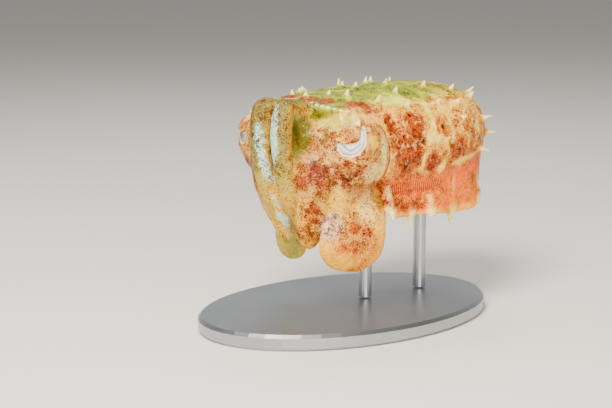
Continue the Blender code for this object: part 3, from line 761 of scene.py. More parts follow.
@dataclass
class Lattice:
    """Distances at the crossings of a grid, finer at the head than along the mantle."""

    low: Triple = (-25.0, -17.8, 9.0)
    high: Triple = (33.0, 17.8, 47.5)
    fine: float = 0.17
    coarse: float = 0.25
    head_ends_x: float = -1.5
    margin: float = 2.2
    slab: int = 24
    axes: list[Array] = field(init=False)
    values: Array = field(init=False)

    def __post_init__(self) -> None:
        """Lays out the grid."""
        head = np.arange(self.low[0], self.head_ends_x, self.fine)
        body = np.arange(head[-1] + self.fine, self.high[0], self.coarse)
        step = self.fine * 1.1
        sides = np.arange(self.low[1], self.high[1], step)
        heights = np.arange(self.low[2], self.high[2], step)
        self.axes = [np.concatenate((head, body)), sides, heights]
        self.values = np.full([len(a) for a in self.axes], FAR, np.float32)

    def slabs(self, form: Form) -> list[tuple[slice, slice, slice]]:
        """The part of the grid near a form, in slices of a few layers."""
        low, high = form.box()
        spans = []
        for axis, bottom, top in zip(self.axes, low - self.margin, high + self.margin):
            spans.append((int(np.searchsorted(axis, bottom)), int(np.searchsorted(axis, top))))
        (start, stop), *rest = spans
        made = []
        for i in range(start, stop, self.slab):
            made.append((slice(i, min(i + self.slab, stop)), slice(*rest[0]), slice(*rest[1])))
        return made

    def points(self, window: tuple[slice, slice, slice]) -> Array:
        """The grid's crossings in a window, one a row."""
        spans = [axis[part] for axis, part in zip(self.axes, window)]
        return np.stack(np.meshgrid(*spans, indexing="ij"), axis=-1).reshape(-1, 3)

    def put(self, form: Form, blend: Callable = rounded_union) -> None:
        """Runs a form into what is there, or cuts it away where blend is rounded_cut."""
        for window in self.slabs(form):
            points = self.points(window)
            held = self.values[window]
            made = form.distance(points).reshape(held.shape)
            reach = form.reach(points)
            reach = reach if np.isscalar(reach) else reach.reshape(held.shape)
            self.values[window] = blend(held, made, reach)

    def surface(self) -> tuple[Array, Array]:
        """The surface where the distance is nought.

        Returns:
            Points, and faces as four point numbers a row.
        """
        inside = self.values < 0
        size = np.array(inside.shape) - 1
        corners = list(itertools.product((0, 1), repeat=3))

        def corner(array: Array, shift: tuple[int, int, int]) -> Array:
            """An array as the cells see it at one of their corners."""
            return array[tuple(slice(s, s + n) for s, n in zip(shift, size))]

        some = np.zeros(size, bool)
        every = np.ones(size, bool)
        for shift in corners:
            some |= corner(inside, shift)
            every &= corner(inside, shift)
        mixed = some & ~every
        cells = np.argwhere(mixed)
        number = np.full(size, -1, np.int32)
        number[mixed] = np.arange(len(cells))
        held = np.stack([self.values[tuple((cells + c).T)] for c in corners], axis=1)
        total = np.zeros((len(cells), 3))
        count = np.zeros(len(cells))
        for i, j in itertools.combinations(range(8), 2):
            step = np.array(corners[j]) - np.array(corners[i])
            if np.abs(step).sum() != 1:
                continue
            crossed = (held[:, i] < 0) != (held[:, j] < 0)
            share = held[crossed, i] / (held[crossed, i] - held[crossed, j])
            total[crossed] += np.array(corners[i]) + share[:, None] * step
            count[crossed] += 1
        places = cells + total / count[:, None]
        steps = [np.arange(len(axis)) for axis in self.axes]
        points = np.stack([np.interp(places[:, k], steps[k], self.axes[k]) for k in range(3)], axis=1)
        return points, self.quads(inside, number)

    @staticmethod
    def quads(inside: Array, number: Array) -> Array:
        """One face round each grid line that the surface crosses.

        Args:
            inside: which crossings of the grid lie inside.
            number: the point number of each cell, -1 where it has none.

        Returns:
            The faces, each turned to face outward.
        """
        made = []
        for along in range(3):
            one, two = (along + 1) % 3, (along + 2) % 3
            lower = [slice(None)] * 3
            lower[along] = slice(0, -1)
            upper = [slice(None)] * 3
            upper[along] = slice(1, None)
            start, end = inside[tuple(lower)], inside[tuple(upper)]
            crossed = np.argwhere(start != end)
            room = (crossed[:, one] > 0) & (crossed[:, two] > 0)
            crossed = crossed[room]
            outward = start[tuple(crossed.T)]
            ring = []
            for a, b in ((-1, -1), (0, -1), (0, 0), (-1, 0)):
                cell = crossed.copy()
                cell[:, one] += a
                cell[:, two] += b
                cell = np.minimum(cell, np.array(number.shape) - 1)
                ring.append(number[tuple(cell.T)])
            faces = np.stack(ring, axis=1)
            faces[~outward] = faces[~outward][:, ::-1]
            made.append(faces)
        faces = np.concatenate(made)
        return faces[(faces >= 0).all(axis=1)]


def added(name: str, data: bpy.types.ID) -> Object:
    """A new object of the scene."""
    obj = bpy.data.objects.new(name, data)
    bpy.context.scene.collection.objects.link(obj)
    return obj


def mesh_object(name: str, points: Array, faces: Array) -> Object:
    """A smooth-shaded mesh object in metres, from points in millimetres and equal-sided faces."""
    mesh = bpy.data.meshes.new(name)
    corners = faces.shape[1]
    mesh.vertices.add(len(points))
    mesh.vertices.foreach_set("co", (points * MM).astype(np.float32).ravel())
    mesh.loops.add(faces.size)
    mesh.loops.foreach_set("vertex_index", faces.astype(np.int32).ravel())
    mesh.polygons.add(len(faces))
    mesh.polygons.foreach_set("loop_start", np.arange(0, faces.size, corners, dtype=np.int32))
    mesh.update(calc_edges=True)
    mesh.validate()
    mesh.shade_smooth()
    return added(name, mesh)


def store(obj: Object, name: str, values: Array) -> None:
    """Keeps a number or a colour for each point of a mesh, for its material to read."""
    colour = values.ndim == 2
    kind = "FLOAT_COLOR" if colour else "FLOAT"
    attribute = obj.data.attributes.new(name, kind, "POINT")
    if colour:
        values = np.concatenate((values, np.ones((len(values), 1))), axis=1)
        attribute.data.foreach_set("color", values.astype(np.float32).ravel())
    else:
        attribute.data.foreach_set("value", values.astype(np.float32))


def relaxed(points: Array, faces: Array, rounds: int) -> Array:
    """Points evened out along the surface without shrinking it."""
    pairs = np.concatenate([faces[:, [k, (k + 1) % 4]] for k in range(4)])
    pairs = np.concatenate((pairs, pairs[:, ::-1]))
    count = np.maximum(np.bincount(pairs[:, 0], minlength=len(points)), 1)
    inward, outward = 0.55, -0.57
    for weight in (inward, outward) * rounds:
        moved = np.empty_like(points)
        for k in range(3):
            total = np.bincount(pairs[:, 0], points[pairs[:, 1], k], len(points))
            moved[:, k] = total / count - points[:, k]
        points = points + weight * moved
    return points


def face_normals(points: Array, faces: Array) -> Array:
    """The way that the surface faces at each point."""
    across = np.cross(
        points[faces[:, 2]] - points[faces[:, 0]], points[faces[:, 3]] - points[faces[:, 1]]
    )
    total = np.zeros_like(points)
    for k in range(4):
        for axis in range(3):
            total[:, axis] += np.bincount(faces[:, k], across[:, axis], len(points))
    return unit(total)


# Papillae


@dataclass(frozen=True)
class Papilla:
    """One fleshy point: where it stands, which way it points and its size."""

    root: Array
    way: Array
    height: float
    radius: float
    tip_radius: float = 0.15
    sunk: float = 0.35
    fillet: float = 1.0

    def form(self) -> Taper:
        """The point as a taper with its foot in the skin."""
        start = self.root - self.way * self.sunk
        top = self.root + self.way * self.height
        return Taper(start, top, self.radius, self.tip_radius, self.fillet)


@dataclass
class Papillae:
    """The soft points of the mantle, tail, brows and fins."""

    mantle: Mantle
    head: Head
    fins: list[Fin]
    places: tuple[Triple, ...] = (
        (-10.6, 87, 1.2), (-7.3, 78, 1.3), (-4.9, 70, 1.4), (-0.9, 53, 1.6), (0.2, 84, 1.4),
        (5.0, 63, 1.6), (4.5, 43, 1.2), (7.0, 82, 1.5), (13.1, 68, 1.6), (11.8, 42, 1.4),
        (18.3, 57, 1.7), (17.0, 39, 1.3), (16.4, 21, 1.2), (22.0, 45, 1.7), (26.0, 62, 1.8),
        (24.0, 15, 2.1), (26.6, -3, 2.1), (23.0, -15, 2.3),
    )
    brows: tuple[tuple[Triple, float, float], ...] = (
        ((0.34, 0.6, 0.73), 1.4, 0.9),
        ((0.54, 0.22, 0.81), 1.5, 0.85),
    )
    fin_points: tuple[Triple, ...] = (
        (0.04, 1.8, 0.9), (0.24, 2.7, 1.1), (0.38, 1.1, 0.8), (0.6, 3.0, 1.4), (0.9, 1.6, 1.2),
    )
    radius: float = 0.95
    lean: float = 0.25
    slim: float = 0.72
    ridge: float = 0.8

    def on_mantle(self) -> list[Papilla]:
        """The points of the back and flanks, in the places that the solids give them."""
        made = []
        draw = random.Random(7)
        for side in (1, -1):
            for x, degrees, height in self.places:
                if side < 0:
                    x += draw.uniform(-1.0, 0.6)
                    degrees += draw.uniform(-5, 5)
                    height *= draw.uniform(0.85, 1.15)
                around = np.array(math.radians(degrees if side > 0 else 180 - degrees))
                root = self.mantle.point(np.array(x), around)
                way = unit(self.mantle.normal(np.array(x), around) + np.array((self.lean, 0.0, 0.0)))
                made.append(Papilla(root, way, height, self.radius * self.slim))
        return made

    def on_head(self) -> list[Papilla]:
        """The points over the eyes."""
        made = []
        for side in (1, -1):
            middle = np.array((0.0, side * self.head.bulge_offset, self.head.bulge_rise))
            for (f, s, z), height, radius in self.brows:
                way = unit((f, side * s, z))
                root = self.head.frame.placed(middle + way * self.head.bulge_radius)
                made.append(Papilla(root, self.head.frame.turned(way), height, radius * self.slim))
        return made

    def on_fins(self) -> list[Papilla]:
        """The points along the edges of the fins."""
        made = []
        for fin in self.fins:
            for share, height, radius in self.fin_points:
                x = np.array([fin.start_x + (fin.end_x - fin.start_x) * share])
                root, down, face, wide = fin.frames(x)
                sway = fin.sway(share)
                edge = root[0] + down[0] * wide[0] + face[0] * (sway + fin.edge * fin.camber)
                flip = np.array((1.0, fin.side, 1.0))
                way = unit(down[0] + face[0] * sway * 0.2)
                ridge = height * self.ridge
                start = (edge - down[0] * (0.6 + ridge)) * flip
                made.append(Papilla(start, way * flip, height + ridge, radius * self.slim))
        return made


# Markings


@dataclass(frozen=True)
class Patch:
    """A soft-edged marking: where it lies, how far it spreads and what it does to the skin."""

    centre: Triple
    radii: Triple
    pigment: float | None = None
    tint: str | None = None
    ground: str | None = None
    strength: float = 1.0

    def weight(self, places: Array) -> Array:
        """How strongly the patch shows at places in its own frame."""
        away = np.linalg.norm((places - np.array(self.centre)) / np.array(self.radii), axis=1)
        return self.strength * rise(away, 1.25, 0.55)


class Tone(StrEnum):
    """Colours of the living skin, named for where they lie, and one painted shade for its hollows."""

    OLIVE = "#9AAA10"
    GOLD = "#D2B606"
    CREAM = "#FFC030"
    BUTTER = "#FFD850"
    LIME = "#E4E44C"
    PALE = "#FFE884"
    APRICOT = "#EC9610"
    SALMON = "#E27410"
    BRICK = "#8E2E00"
    RUST = "#AC4200"
    MAROON = "#741E00"
    UMBER = "#5C3606"
    PLUM = "#8A3E34"
    FIN_RED = "#FF6C00"
    PEACH = "#FFA410"
    # painted shade: the dark green of the shadowed hollows between the arm roots and the eye bulges
    HOLLOW_SHADE = "#64620E"
    SAGE = "#B4B840"
    OCHRE = "#E0A010"
    STRAW = "#BAAC40"
    PINK = "#D09444"
    YELLOW = "#EFC400"
    INK = "#3A1204"
    GLINT = "#FFFCEA"
    STRIA = "#6E1216"
    SILVER = "#C4F0E2"
    REED = "#8C863C"
    LILAC = "#F8DCB4"
    LICHEN = "#5E6608"


@dataclass
class Coat:
    """What each point of the skin is coloured with, while the markings are laid."""

    ground: Array
    tint: Array
    pigment: Array
    silver: Array
    ribs: Array
    net: Array

    @classmethod
    def bare(cls, count: int) -> "Coat":
        """A coat for so many points, with nothing on it."""
        return cls(*(np.zeros((count, 3)) for _ in range(2)), *(np.zeros(count) for _ in range(4)))

    def lay(self, weight: Array, ground: Array, tint: Array, pigment: Amount) -> None:
        """Adds one part's share of the ground, the tint and the pigment."""
        self.ground += ground * weight[:, None]
        self.tint += tint * weight[:, None]
        self.pigment += pigment * weight

    def cover(
        self,
        colour: Array,
        share: Array,
        by: float = 1.0,
        less: float = 1.0,
        near: Array | slice = slice(None),
    ) -> None:
        """Turns the ground towards a colour and thins the pigment there.

        Args:
            colour: the linear colour, or one a row.
            share: how strongly it shows at each point.
            by: how far the ground turns where the share is 1.
            less: how much of the pigment goes where the share is 1.
            near: the points that the shares are for.
        """
        self.ground[near] += (colour - self.ground[near]) * by * share[:, None]
        self.pigment[near] *= 1 - less * share

    def keep(self, obj: Object) -> None:
        """Keeps the coat on the mesh, for its material to read."""
        for name in ("ground", "tint"):
            store(obj, name, getattr(self, name))
        for name in ("pigment", "silver", "ribs", "net"):
            store(obj, name, np.clip(getattr(self, name), 0.0, 1.0))


BLOTCH = (1.0, Tone.BRICK, Tone.SALMON)
SPOT = (1.0, Tone.INK, Tone.MAROON)


@dataclass
class Markings:
    """Where the skin is pale, mottled, silvery or ribbed, and where shade is painted into its hollows."""

    head: Head
    mantle: Mantle
    arms: list[Arm]
    fins: list[Fin]
    funnel: Funnel
    eyes: list[EyeSite]
    papillae: list[Papilla]
    blend: float = 0.35
    bead_spacing: float = 0.9
    body_patches: tuple[Patch, ...] = (
        Patch((-11.7, 2.7, 43.0), (2.6, 2.4, 1.2), *BLOTCH),
        Patch((-9.2, 5.9, 42.9), (1.9, 1.8, 1.2), *BLOTCH),
        Patch((-5.4, 9.6, 42.2), (2.4, 2.0, 1.3), *BLOTCH),
        Patch((-3.2, 11.7, 41.3), (1.9, 1.8, 1.4), *BLOTCH),
        Patch((-1.2, 14.0, 38.6), (1.2, 2.4, 2.9), *BLOTCH),
        Patch((2.2, 15.2, 34.6), (4.3, 3.6, 5.2), *BLOTCH),
        Patch((4.4, 14.0, 38.8), (2.6, 2.8, 2.2), 0.85, Tone.BRICK, Tone.SALMON),
        Patch((10.8, 14.9, 37.6), (2.1, 2.8, 2.1), 0.7, Tone.RUST, Tone.APRICOT),
        Patch((15.3, 15.0, 33.2), (2.4, 3.0, 2.3), 0.95, Tone.BRICK, Tone.SALMON),
        Patch((8.4, 15.3, 31.4), (1.9, 2.8, 1.6), 0.95, Tone.BRICK, Tone.SALMON),
        Patch((18.6, 13.8, 36.9), (2.4, 3.0, 1.5), 0.75, Tone.RUST, Tone.APRICOT),
        Patch((20.6, 13.7, 33.8), (2.6, 3.2, 1.9), 0.85, Tone.RUST, Tone.APRICOT),
        Patch((21.0, 13.0, 28.4), (4.5, 4.0, 2.6), 0.7, Tone.RUST),
        Patch((-2.0, 13.8, 39.1), (0.45, 0.9, 0.45), *SPOT),
        Patch((3.7, 13.6, 39.9), (0.5, 0.9, 0.5), *SPOT),
        Patch((5.4, 15.4, 35.4), (0.6, 0.9, 0.7), *SPOT),
        Patch((2.0, 15.2, 31.3), (0.5, 0.9, 0.8), *SPOT),
        Patch((11.0, 14.9, 37.6), (0.6, 0.9, 0.6), *SPOT),
    )
    head_patches: tuple[Patch, ...] = (
        Patch((8.6, 8.6, -3.2), (3.2, 2.8, 2.4), 1.0, Tone.MAROON),
        Patch((4.6, 12.6, -4.4), (3.4, 3.0, 1.9), 0.95, Tone.MAROON),
        Patch((8.4, 9.0, -6.2), (1.8, 1.8, 1.4), 0.95, Tone.BRICK),
        Patch((7.2, 4.8, 1.0), (2.0, 2.2, 2.8), 0.95, Tone.UMBER),
        Patch((6.6, 8.2, 2.6), (2.0, 2.4, 2.0), 0.62, Tone.UMBER),
        Patch((7.4, 10.6, 0.4), (1.4, 1.6, 2.6), 0.6, Tone.PLUM),
        Patch((10.2, 6.4, -4.6), (2.0, 2.2, 2.4), 0.85, Tone.BRICK),
        Patch((8.8, 7.3, -10.6), (1.4, 1.7, 2.8), 1.0, Tone.BRICK, Tone.APRICOT),
        Patch((2.2, 11.7, -14.1), (1.3, 1.6, 1.3), 1.0, Tone.RUST, Tone.APRICOT),
        Patch((0.2, 12.6, -14.9), (1.2, 1.6, 1.1), 0.9, Tone.RUST, Tone.APRICOT),
        Patch((3.2, 11.2, -17.6), (1.8, 1.6, 1.0), 0.9, Tone.RUST, Tone.APRICOT),
        Patch((-1.2, 12.1, -10.6), (2.3, 2.6, 3.2), 0.25, Tone.RUST, Tone.PALE, 0.7),
        Patch((6.0, 9.2, -13.4), (2.6, 2.2, 3.0), 0.7, Tone.PLUM, Tone.LILAC, 0.75),
        Patch((4.4, 9.9, -20.4), (4.6, 3.0, 1.3), 0.08, Tone.RUST, Tone.OCHRE),
        Patch((4.6, 8.4, 6.4), (4.4, 5.4, 2.2), 0.22, Tone.OCHRE, Tone.SAGE),
        # painted shade: a dark green ground with brown dots in the hollow between the first arms and the
        # eye bulge
        Patch((8.2, 4.2, 2.2), (3.0, 2.2, 4.0), 0.4, Tone.UMBER, Tone.HOLLOW_SHADE),
        Patch((-1.8, 15.0, -1.0), (2.2, 2.6, 5.0), 0.15, Tone.RUST, Tone.PALE),
        Patch((1.4, 15.4, -4.2), (2.0, 2.0, 2.8), 0.3, Tone.RUST, Tone.PALE, 0.8),
        Patch((2.0, 15.7, 2.5), (1.2, 1.5, 1.3), 0.2, Tone.OCHRE, Tone.YELLOW),
        Patch((9.0, 9.4, 5.6), (2.6, 3.4, 1.8), 0.35, Tone.UMBER),
    )
    bands: tuple[tuple[Triple, ...], ...] = (
        ((8.9, 41.0, 0.2), (8.5, 37.8, 0.3), (7.5, 35.4, 0.15), (6.3, 33.0, 0.1), (5.8, 30.0, 0.0)),
        ((12.9, 38.9, 0.2), (13.9, 36.5, 0.1), (11.8, 35.1, 0.2), (12.2, 33.0, 0.3), (10.7, 29.5, 0.1)),
        ((0.5, 42.2, 0.1), (6.2, 42.2, 0.3), (10.8, 41.3, 0.3), (13.9, 39.3, 0.3), (24.8, 35.2, 0.2)),
        ((7.5, 35.4, 0.0), (11.8, 35.1, 0.2)),
        ((-1.0, 29.2, -0.2), (4.1, 29.4, 0.0), (9.5, 29.6, 0.1), (16.6, 30.6, 0.0), (22.7, 31.8, 0.0)),
    )
    streaks: tuple[tuple[int, tuple[Triple, ...]], ...] = (
        (1, ((2.1, 8.2, 0.6), (1.8, 5.0, 1.05), (1.45, 1.5, 1.1), (1.1, -1.8, 0.7))),
        (-1, ((-1.7, 5.0, 0.5), (-1.4, 2.0, 0.7), (-0.9, -1.8, 0.7), (-0.2, -5.0, 0.4))),
        (-1, ((-0.5, -7.6, 0.2), (-0.4, -10.4, 0.3))),
        (-1, ((-0.9, -12.6, 0.75), (-0.7, -14.0, 0.7))),
    )

    def parts(self, points: Array) -> dict[str, Array]:
        """How much of each point belongs to each body part."""
        away = {
            "head": self.head.distance(points),
            "mantle": self.mantle.shell(points) + 3 * np.maximum(self.mantle.collar_gap(points), 0),
            "fin": np.minimum(*[fin.distance(points) for fin in self.fins]),
            "funnel": self.funnel.distance(points),
        }
        for i, arm in enumerate(self.arms):
            away[f"arm{i}"] = arm.distance(points)
        weights = {k: np.exp(-np.maximum(d, 0.0) / self.blend) for k, d in away.items()}
        total = np.maximum(sum(weights.values()), TINY)
        return {k: w / total for k, w in weights.items()}

    def mantle_ground(self, points: Array) -> Array:
        """Olive along the back, cream on the flank and salmon low down at the rear."""
        angle = self.mantle.around(points) + 5 * grain(points, 2.6, 3)
        x = points[:, 0]
        lit = 0.6 * rise(grain(points, 1.7, 8), 0.1, 0.7)
        back = mixed(Tone.OLIVE, Tone.GOLD, rise(x, 9.0, 22.0))
        back = mixed(back, Tone.LIME, lit)
        flank = mixed(Tone.CREAM, Tone.APRICOT, rise(angle, 18.0, -12.0))
        flank = mixed(flank, Tone.SALMON, rise(x, 13.0, 24.0) * rise(angle, 6.0, -14.0))
        made = mixed(flank, back, rise(angle, 40.0, 62.0))
        made = mixed(made, Tone.FIN_RED, rise(angle, -16.0, -27.0) * 0.75)
        return mixed(made, Tone.PALE, rise(angle, -38.0, -60.0))

    def arm_look(self, arm: Arm, points: Array) -> tuple[Array, ...]:
        """Ground, tint, pigment and silver of one arm."""
        share, sideways, outward, _ = arm.coordinates(points)
        wide, _ = arm.sizes(np.clip(share, 0.0, 1.0))
        level = np.abs(sideways) / np.maximum(wide, 0.3)
        local = arm.frame.read(points)
        height = local[:, 2]
        lumps = grain(points, 2.4, 21 + len(arm.pair))
        inner = rise(outward, 0.0, -0.8)
        silver = np.zeros(len(points))
        if arm.pair == "first":
            ground = mixed(Tone.STRAW, Tone.REED, rise(height, -5.0, 3.0))
            tint = mixed(Tone.UMBER, Tone.OCHRE, rise(height, -2.0, -10.0))
            pigment = 0.5 + 0.35 * lumps
            ragged = 0.5 * lumps + 0.8 * grain(points, 0.6, 23)
            front = np.stack((local[:, 1], height), axis=1)
            for side, line in self.streaks:
                if side == arm.side:
                    streak = rise(stroke(front, np.array(line)) + 0.7 * ragged, 0.35, -0.6)
                    silver = np.maximum(silver, streak * (outward > -0.3))
        elif arm.pair == "second":
            ground = mixed(Tone.PINK, Tone.CREAM, rise(height, -5.0, -10.0))
            tint = mixed(Tone.UMBER, Tone.BRICK, rise(height, -7.0, -12.0))
            pigment = 0.5 + 0.4 * lumps
        elif arm.pair == "third":
            ground = mixed(Tone.CREAM, Tone.STRAW, rise(height, -10.0, -14.0))
            tint = np.broadcast_to(linear(Tone.UMBER), points.shape)
            pigment = 0.18 + 0.2 * lumps
        else:
            ground = mixed(Tone.CREAM, Tone.APRICOT, rise(height, -12.0, -21.0))
            ground = mixed(ground, Tone.OCHRE, 0.55 * rise(share, 0.86, 1.0))
            middle = np.exp(-((sideways / 2.6) ** 2) - ((height + 14.0) / 3.6) ** 2)
            tint = mixed(Tone.BRICK, Tone.PLUM, middle)
            pigment = 0.28 + 0.22 * middle + 0.55 * lumps * (1 - middle)
            pigment = pigment * (1 - 0.75 * rise(level, 0.62, 0.9))
            if arm.side < 0:
                ground = mixed(ground, Tone.STRAW, rise(height, -14.0, -18.0))
                pigment = pigment * (1 - 0.6 * rise(height, -14.0, -18.0))
        edge = rise(level + 0.08 * lumps, 0.8, 0.98) * (1 - inner)
        ground = mixed(ground, Tone.OCHRE, 0.65 * edge)
        # Inner faces of the arms: pale low down, which is their own colour, and dark green higher up,
        # which only the first arms show: painted shade for the pit behind their roots.
        hidden = mixed(Tone.PALE, Tone.HOLLOW_SHADE, rise(height, -6.0, -2.0))
        if arm.pair != "first":
            inner = inner * rise(height, -11.0, -14.0)
        ground = mixed(ground, hidden, inner * 0.85 * rise(height, 7.0, 4.0))
        return ground, tint, np.clip(pigment, 0.0, 1.0) * (1 - 0.85 * inner), silver

    def collar_beads(self, points: Array) -> Array:
        """The row of tiny white beads along the free edge over the nape."""
        x, y, z = points.T
        gap = self.mantle.collar_gap(points)
        line = rise(np.abs(gap + 0.45), 0.34, 0.16) * (z > self.mantle.axis(x))
        line = line * rise(np.abs(y), 11.5, 10.5) * (self.mantle.shell(points) > -0.8)
        return line * rise(np.cos(2 * math.pi * y / self.bead_spacing), 0.0, 0.6)

    def lay_body(self, coat: Coat, points: Array, parts: dict, lumps: Array) -> None:
        """The head's and the mantle's colours, and the net of pale ridges over them."""
        base = mixed(Tone.PINK, Tone.CREAM, rise(lumps, -0.2, 0.6))
        coat.lay(parts["head"], base, linear(Tone.BRICK), 0.6 + 0.35 * lumps)
        angle = self.mantle.around(points)
        olive = rise(angle, 40.0, 60.0)
        dots = mixed(Tone.RUST, Tone.LICHEN, olive)
        amount = 0.45 + (0.3 + 0.3 * olive) * lumps
        coat.lay(parts["mantle"], self.mantle_ground(points), dots, amount)
        coat.net += 0.8 * parts["mantle"] * rise(angle, -20.0, 0.0) * rise(angle, 66.0, 52.0)
        coat.net += 0.65 * parts["head"]

    def lay_fins(self, coat: Coat, points: Array, parts: dict, lumps: Array) -> None:
        """The fins' colours: pale rims, a dark front share and dark bars."""
        for fin in self.fins:
            share, out, _, _ = fin.coordinates(points)
            side = parts["fin"] * (points[:, 1] * fin.side < 0)
            rim = rise(out + 0.05 * lumps, 0.72, 0.96)
            corner = rise(share + 0.04 * lumps, 0.12, 0.03) * (1 - rim)
            front = rise(share + 0.1 * lumps, 0.5, 0.3) * rise(out, 0.16, 0.3) * (1 - rim)
            base = mixed(Tone.FIN_RED, Tone.PEACH, np.maximum(rim, 0.2 + 0.4 * lumps))
            dots = mixed(Tone.BRICK, Tone.MAROON, corner)
            amount = np.maximum((0.2 + 0.4 * lumps) * (1 - rim), (0.62 + 0.5 * lumps) * front)
            coat.lay(side, base, dots, np.maximum(amount, 0.9 * corner))
            ribbed = rise(share, 0.0, 0.06) * rise(share, 0.56, 0.44)
            coat.ribs += side * rise(np.abs(out - 0.18), 0.22, 0.08) * ribbed

    def lay_patches(self, coat: Coat, points: Array, parts: dict, ragged: Array) -> None:
        """The patches of the mantle, and of the head with its arms, alike on both sides."""
        arms = sum(parts[f"arm{i}"] for i in range(len(self.arms)))
        flesh = np.clip(parts["head"] + arms, 0.0, 1.0)
        body = (self.body_patches, points, parts["mantle"])
        head = (self.head_patches, self.head.frame.read(points), flesh)
        for patches, places, keep in (body, head):
            folded = np.where((False, True, False), np.abs(places), places) + 0.6 * ragged[:, None]
            for patch in patches:
                weight = patch.weight(folded) * keep
                if patch.pigment is not None:
                    coat.pigment += (patch.pigment - coat.pigment) * weight
                if patch.tint:
                    coat.tint += (linear(patch.tint) - coat.tint) * weight[:, None]
                if patch.ground:
                    coat.ground += (linear(patch.ground) - coat.ground) * weight[:, None]

    def lay_bands(self, coat: Coat, points: Array, parts: dict, ragged: Array) -> None:
        """The pale bands down and along the flanks."""
        side_on = points[:, [0, 2]]
        for line in self.bands:
            pale = rise(stroke(side_on, np.array(line)) + 1.1 * ragged, 0.7, -0.6) * parts["mantle"]
            pale = pale * (np.abs(points[:, 1]) > 6.0)
            band = mixed(Tone.BUTTER, Tone.LIME, rise(points[:, 2], 38.5, 41.0))
            coat.cover(band, pale, 0.85, 0.7)

    def lay_papillae(self, coat: Coat, points: Array) -> None:
        """The pale tips of the soft points, and the pale crests that run up to the fins' ones."""
        for papilla in self.papillae:
            on_fin = papilla.way[2] < -0.5
            reach = papilla.height + (4.0 if on_fin else 2.0)
            near = np.linalg.norm(points - papilla.root, axis=1) < reach
            away = (points[near] - papilla.root) @ papilla.way
            pale = rise(away, 0.1, papilla.height * 0.55)
            pale = pale * rise(papilla.form().distance(points[near]), 0.9, 0.35)
            if on_fin:
                beside = points[near] - papilla.root - away[:, None] * papilla.way
                crest = rise(np.linalg.norm(beside, axis=1), 1.2, 0.3)
                crest = crest * rise(away, -1.8 * papilla.height, -0.6 * papilla.height)
                pale = np.maximum(pale, 0.85 * crest)
            coat.cover(linear(Tone.PALE), pale, less=0.8, near=near)

    def paint(self, obj: Object, points: Array) -> None:
        """Works out the markings at each point of the skin and keeps them on the mesh."""
        parts = self.parts(points)
        coat = Coat.bare(len(points))
        lumps = grain(points, 1.8, 5)
        ragged = 0.9 * lumps + 0.5 * grain(points, 0.8, 6)
        self.lay_body(coat, points, parts, lumps)
        self.lay_fins(coat, points, parts, lumps)
        coat.lay(parts["funnel"], linear(Tone.PALE), linear(Tone.RUST), 0.15)
        for i, arm in enumerate(self.arms):
            *look, shine = self.arm_look(arm, points)
            coat.lay(parts[f"arm{i}"], *look)
            coat.silver += parts[f"arm{i}"] * shine
        self.lay_patches(coat, points, parts, ragged)
        self.lay_bands(coat, points, parts, ragged)
        self.lay_papillae(coat, points)
        # Painted light round each eye: the lids' edge painted white over their own pale border, so that
        # the shaded opening reads brightly lit.
        for eye in self.eyes:
            across, up, front, radius = eye.read(points)
            rim = rise(eye.crescent(across, up), 0.3, 0.12) * (front > 0) * rise(radius, 6.0, 5.2)
            coat.cover(linear(Tone.GLINT), rim)
        coat.cover(linear(Tone.GLINT), self.collar_beads(points))
        coat.keep(obj)


# Finishes


def wire(node: Node, inputs: dict) -> None:
    """Gives inputs of a node, by name or number, a value or another node's output."""
    for key, value in inputs.items():
        if isinstance(value, NodeSocket):
            node.id_data.links.new(value, node.inputs[key])
        else:
            node.inputs[key].default_value = value


def add_node(
    tree: NodeTree, kind: str, inputs: dict | None = None, **settings: object
) -> bpy_prop_collection:
    """Adds a shader node.

    Args:
        tree: the material's node tree.
        kind: Blender's name for the node.
        inputs: what wire puts into the node's inputs.
        settings: the node's own settings.

    Returns:
        The node's outputs, by name or number.
    """
    made = tree.nodes.new(kind)
    for name, value in settings.items():
        setattr(made, name, value)
    wire(made, inputs or {})
    return made.outputs


def cells(size_mm: float) -> float:
    """A texture's scale that gives it cells or lumps of about a size in millimetres."""
    return 1 / (size_mm * MM)


def spanned(value: NodeSocket, *ends: float) -> dict:
    """Inputs that carry a value from between the first two ends to between the next two."""
    return dict(zip(("Value", "From Min", "From Max", "To Min", "To Max"), (value, *ends)))


def new_material(name: str) -> tuple[Material, NodeTree, Node]:
    """A material with a Principled shader, its tree and that shader."""
    material = bpy.data.materials.new(name)
    material.use_nodes = True
    return material, material.node_tree, material.node_tree.nodes["Principled BSDF"]


def rgba(colour: str) -> tuple[float, float, float, float]:
    """An sRGB hex colour as a shader socket takes it."""
    return (*(float(v) for v in linear(colour)), 1.0)


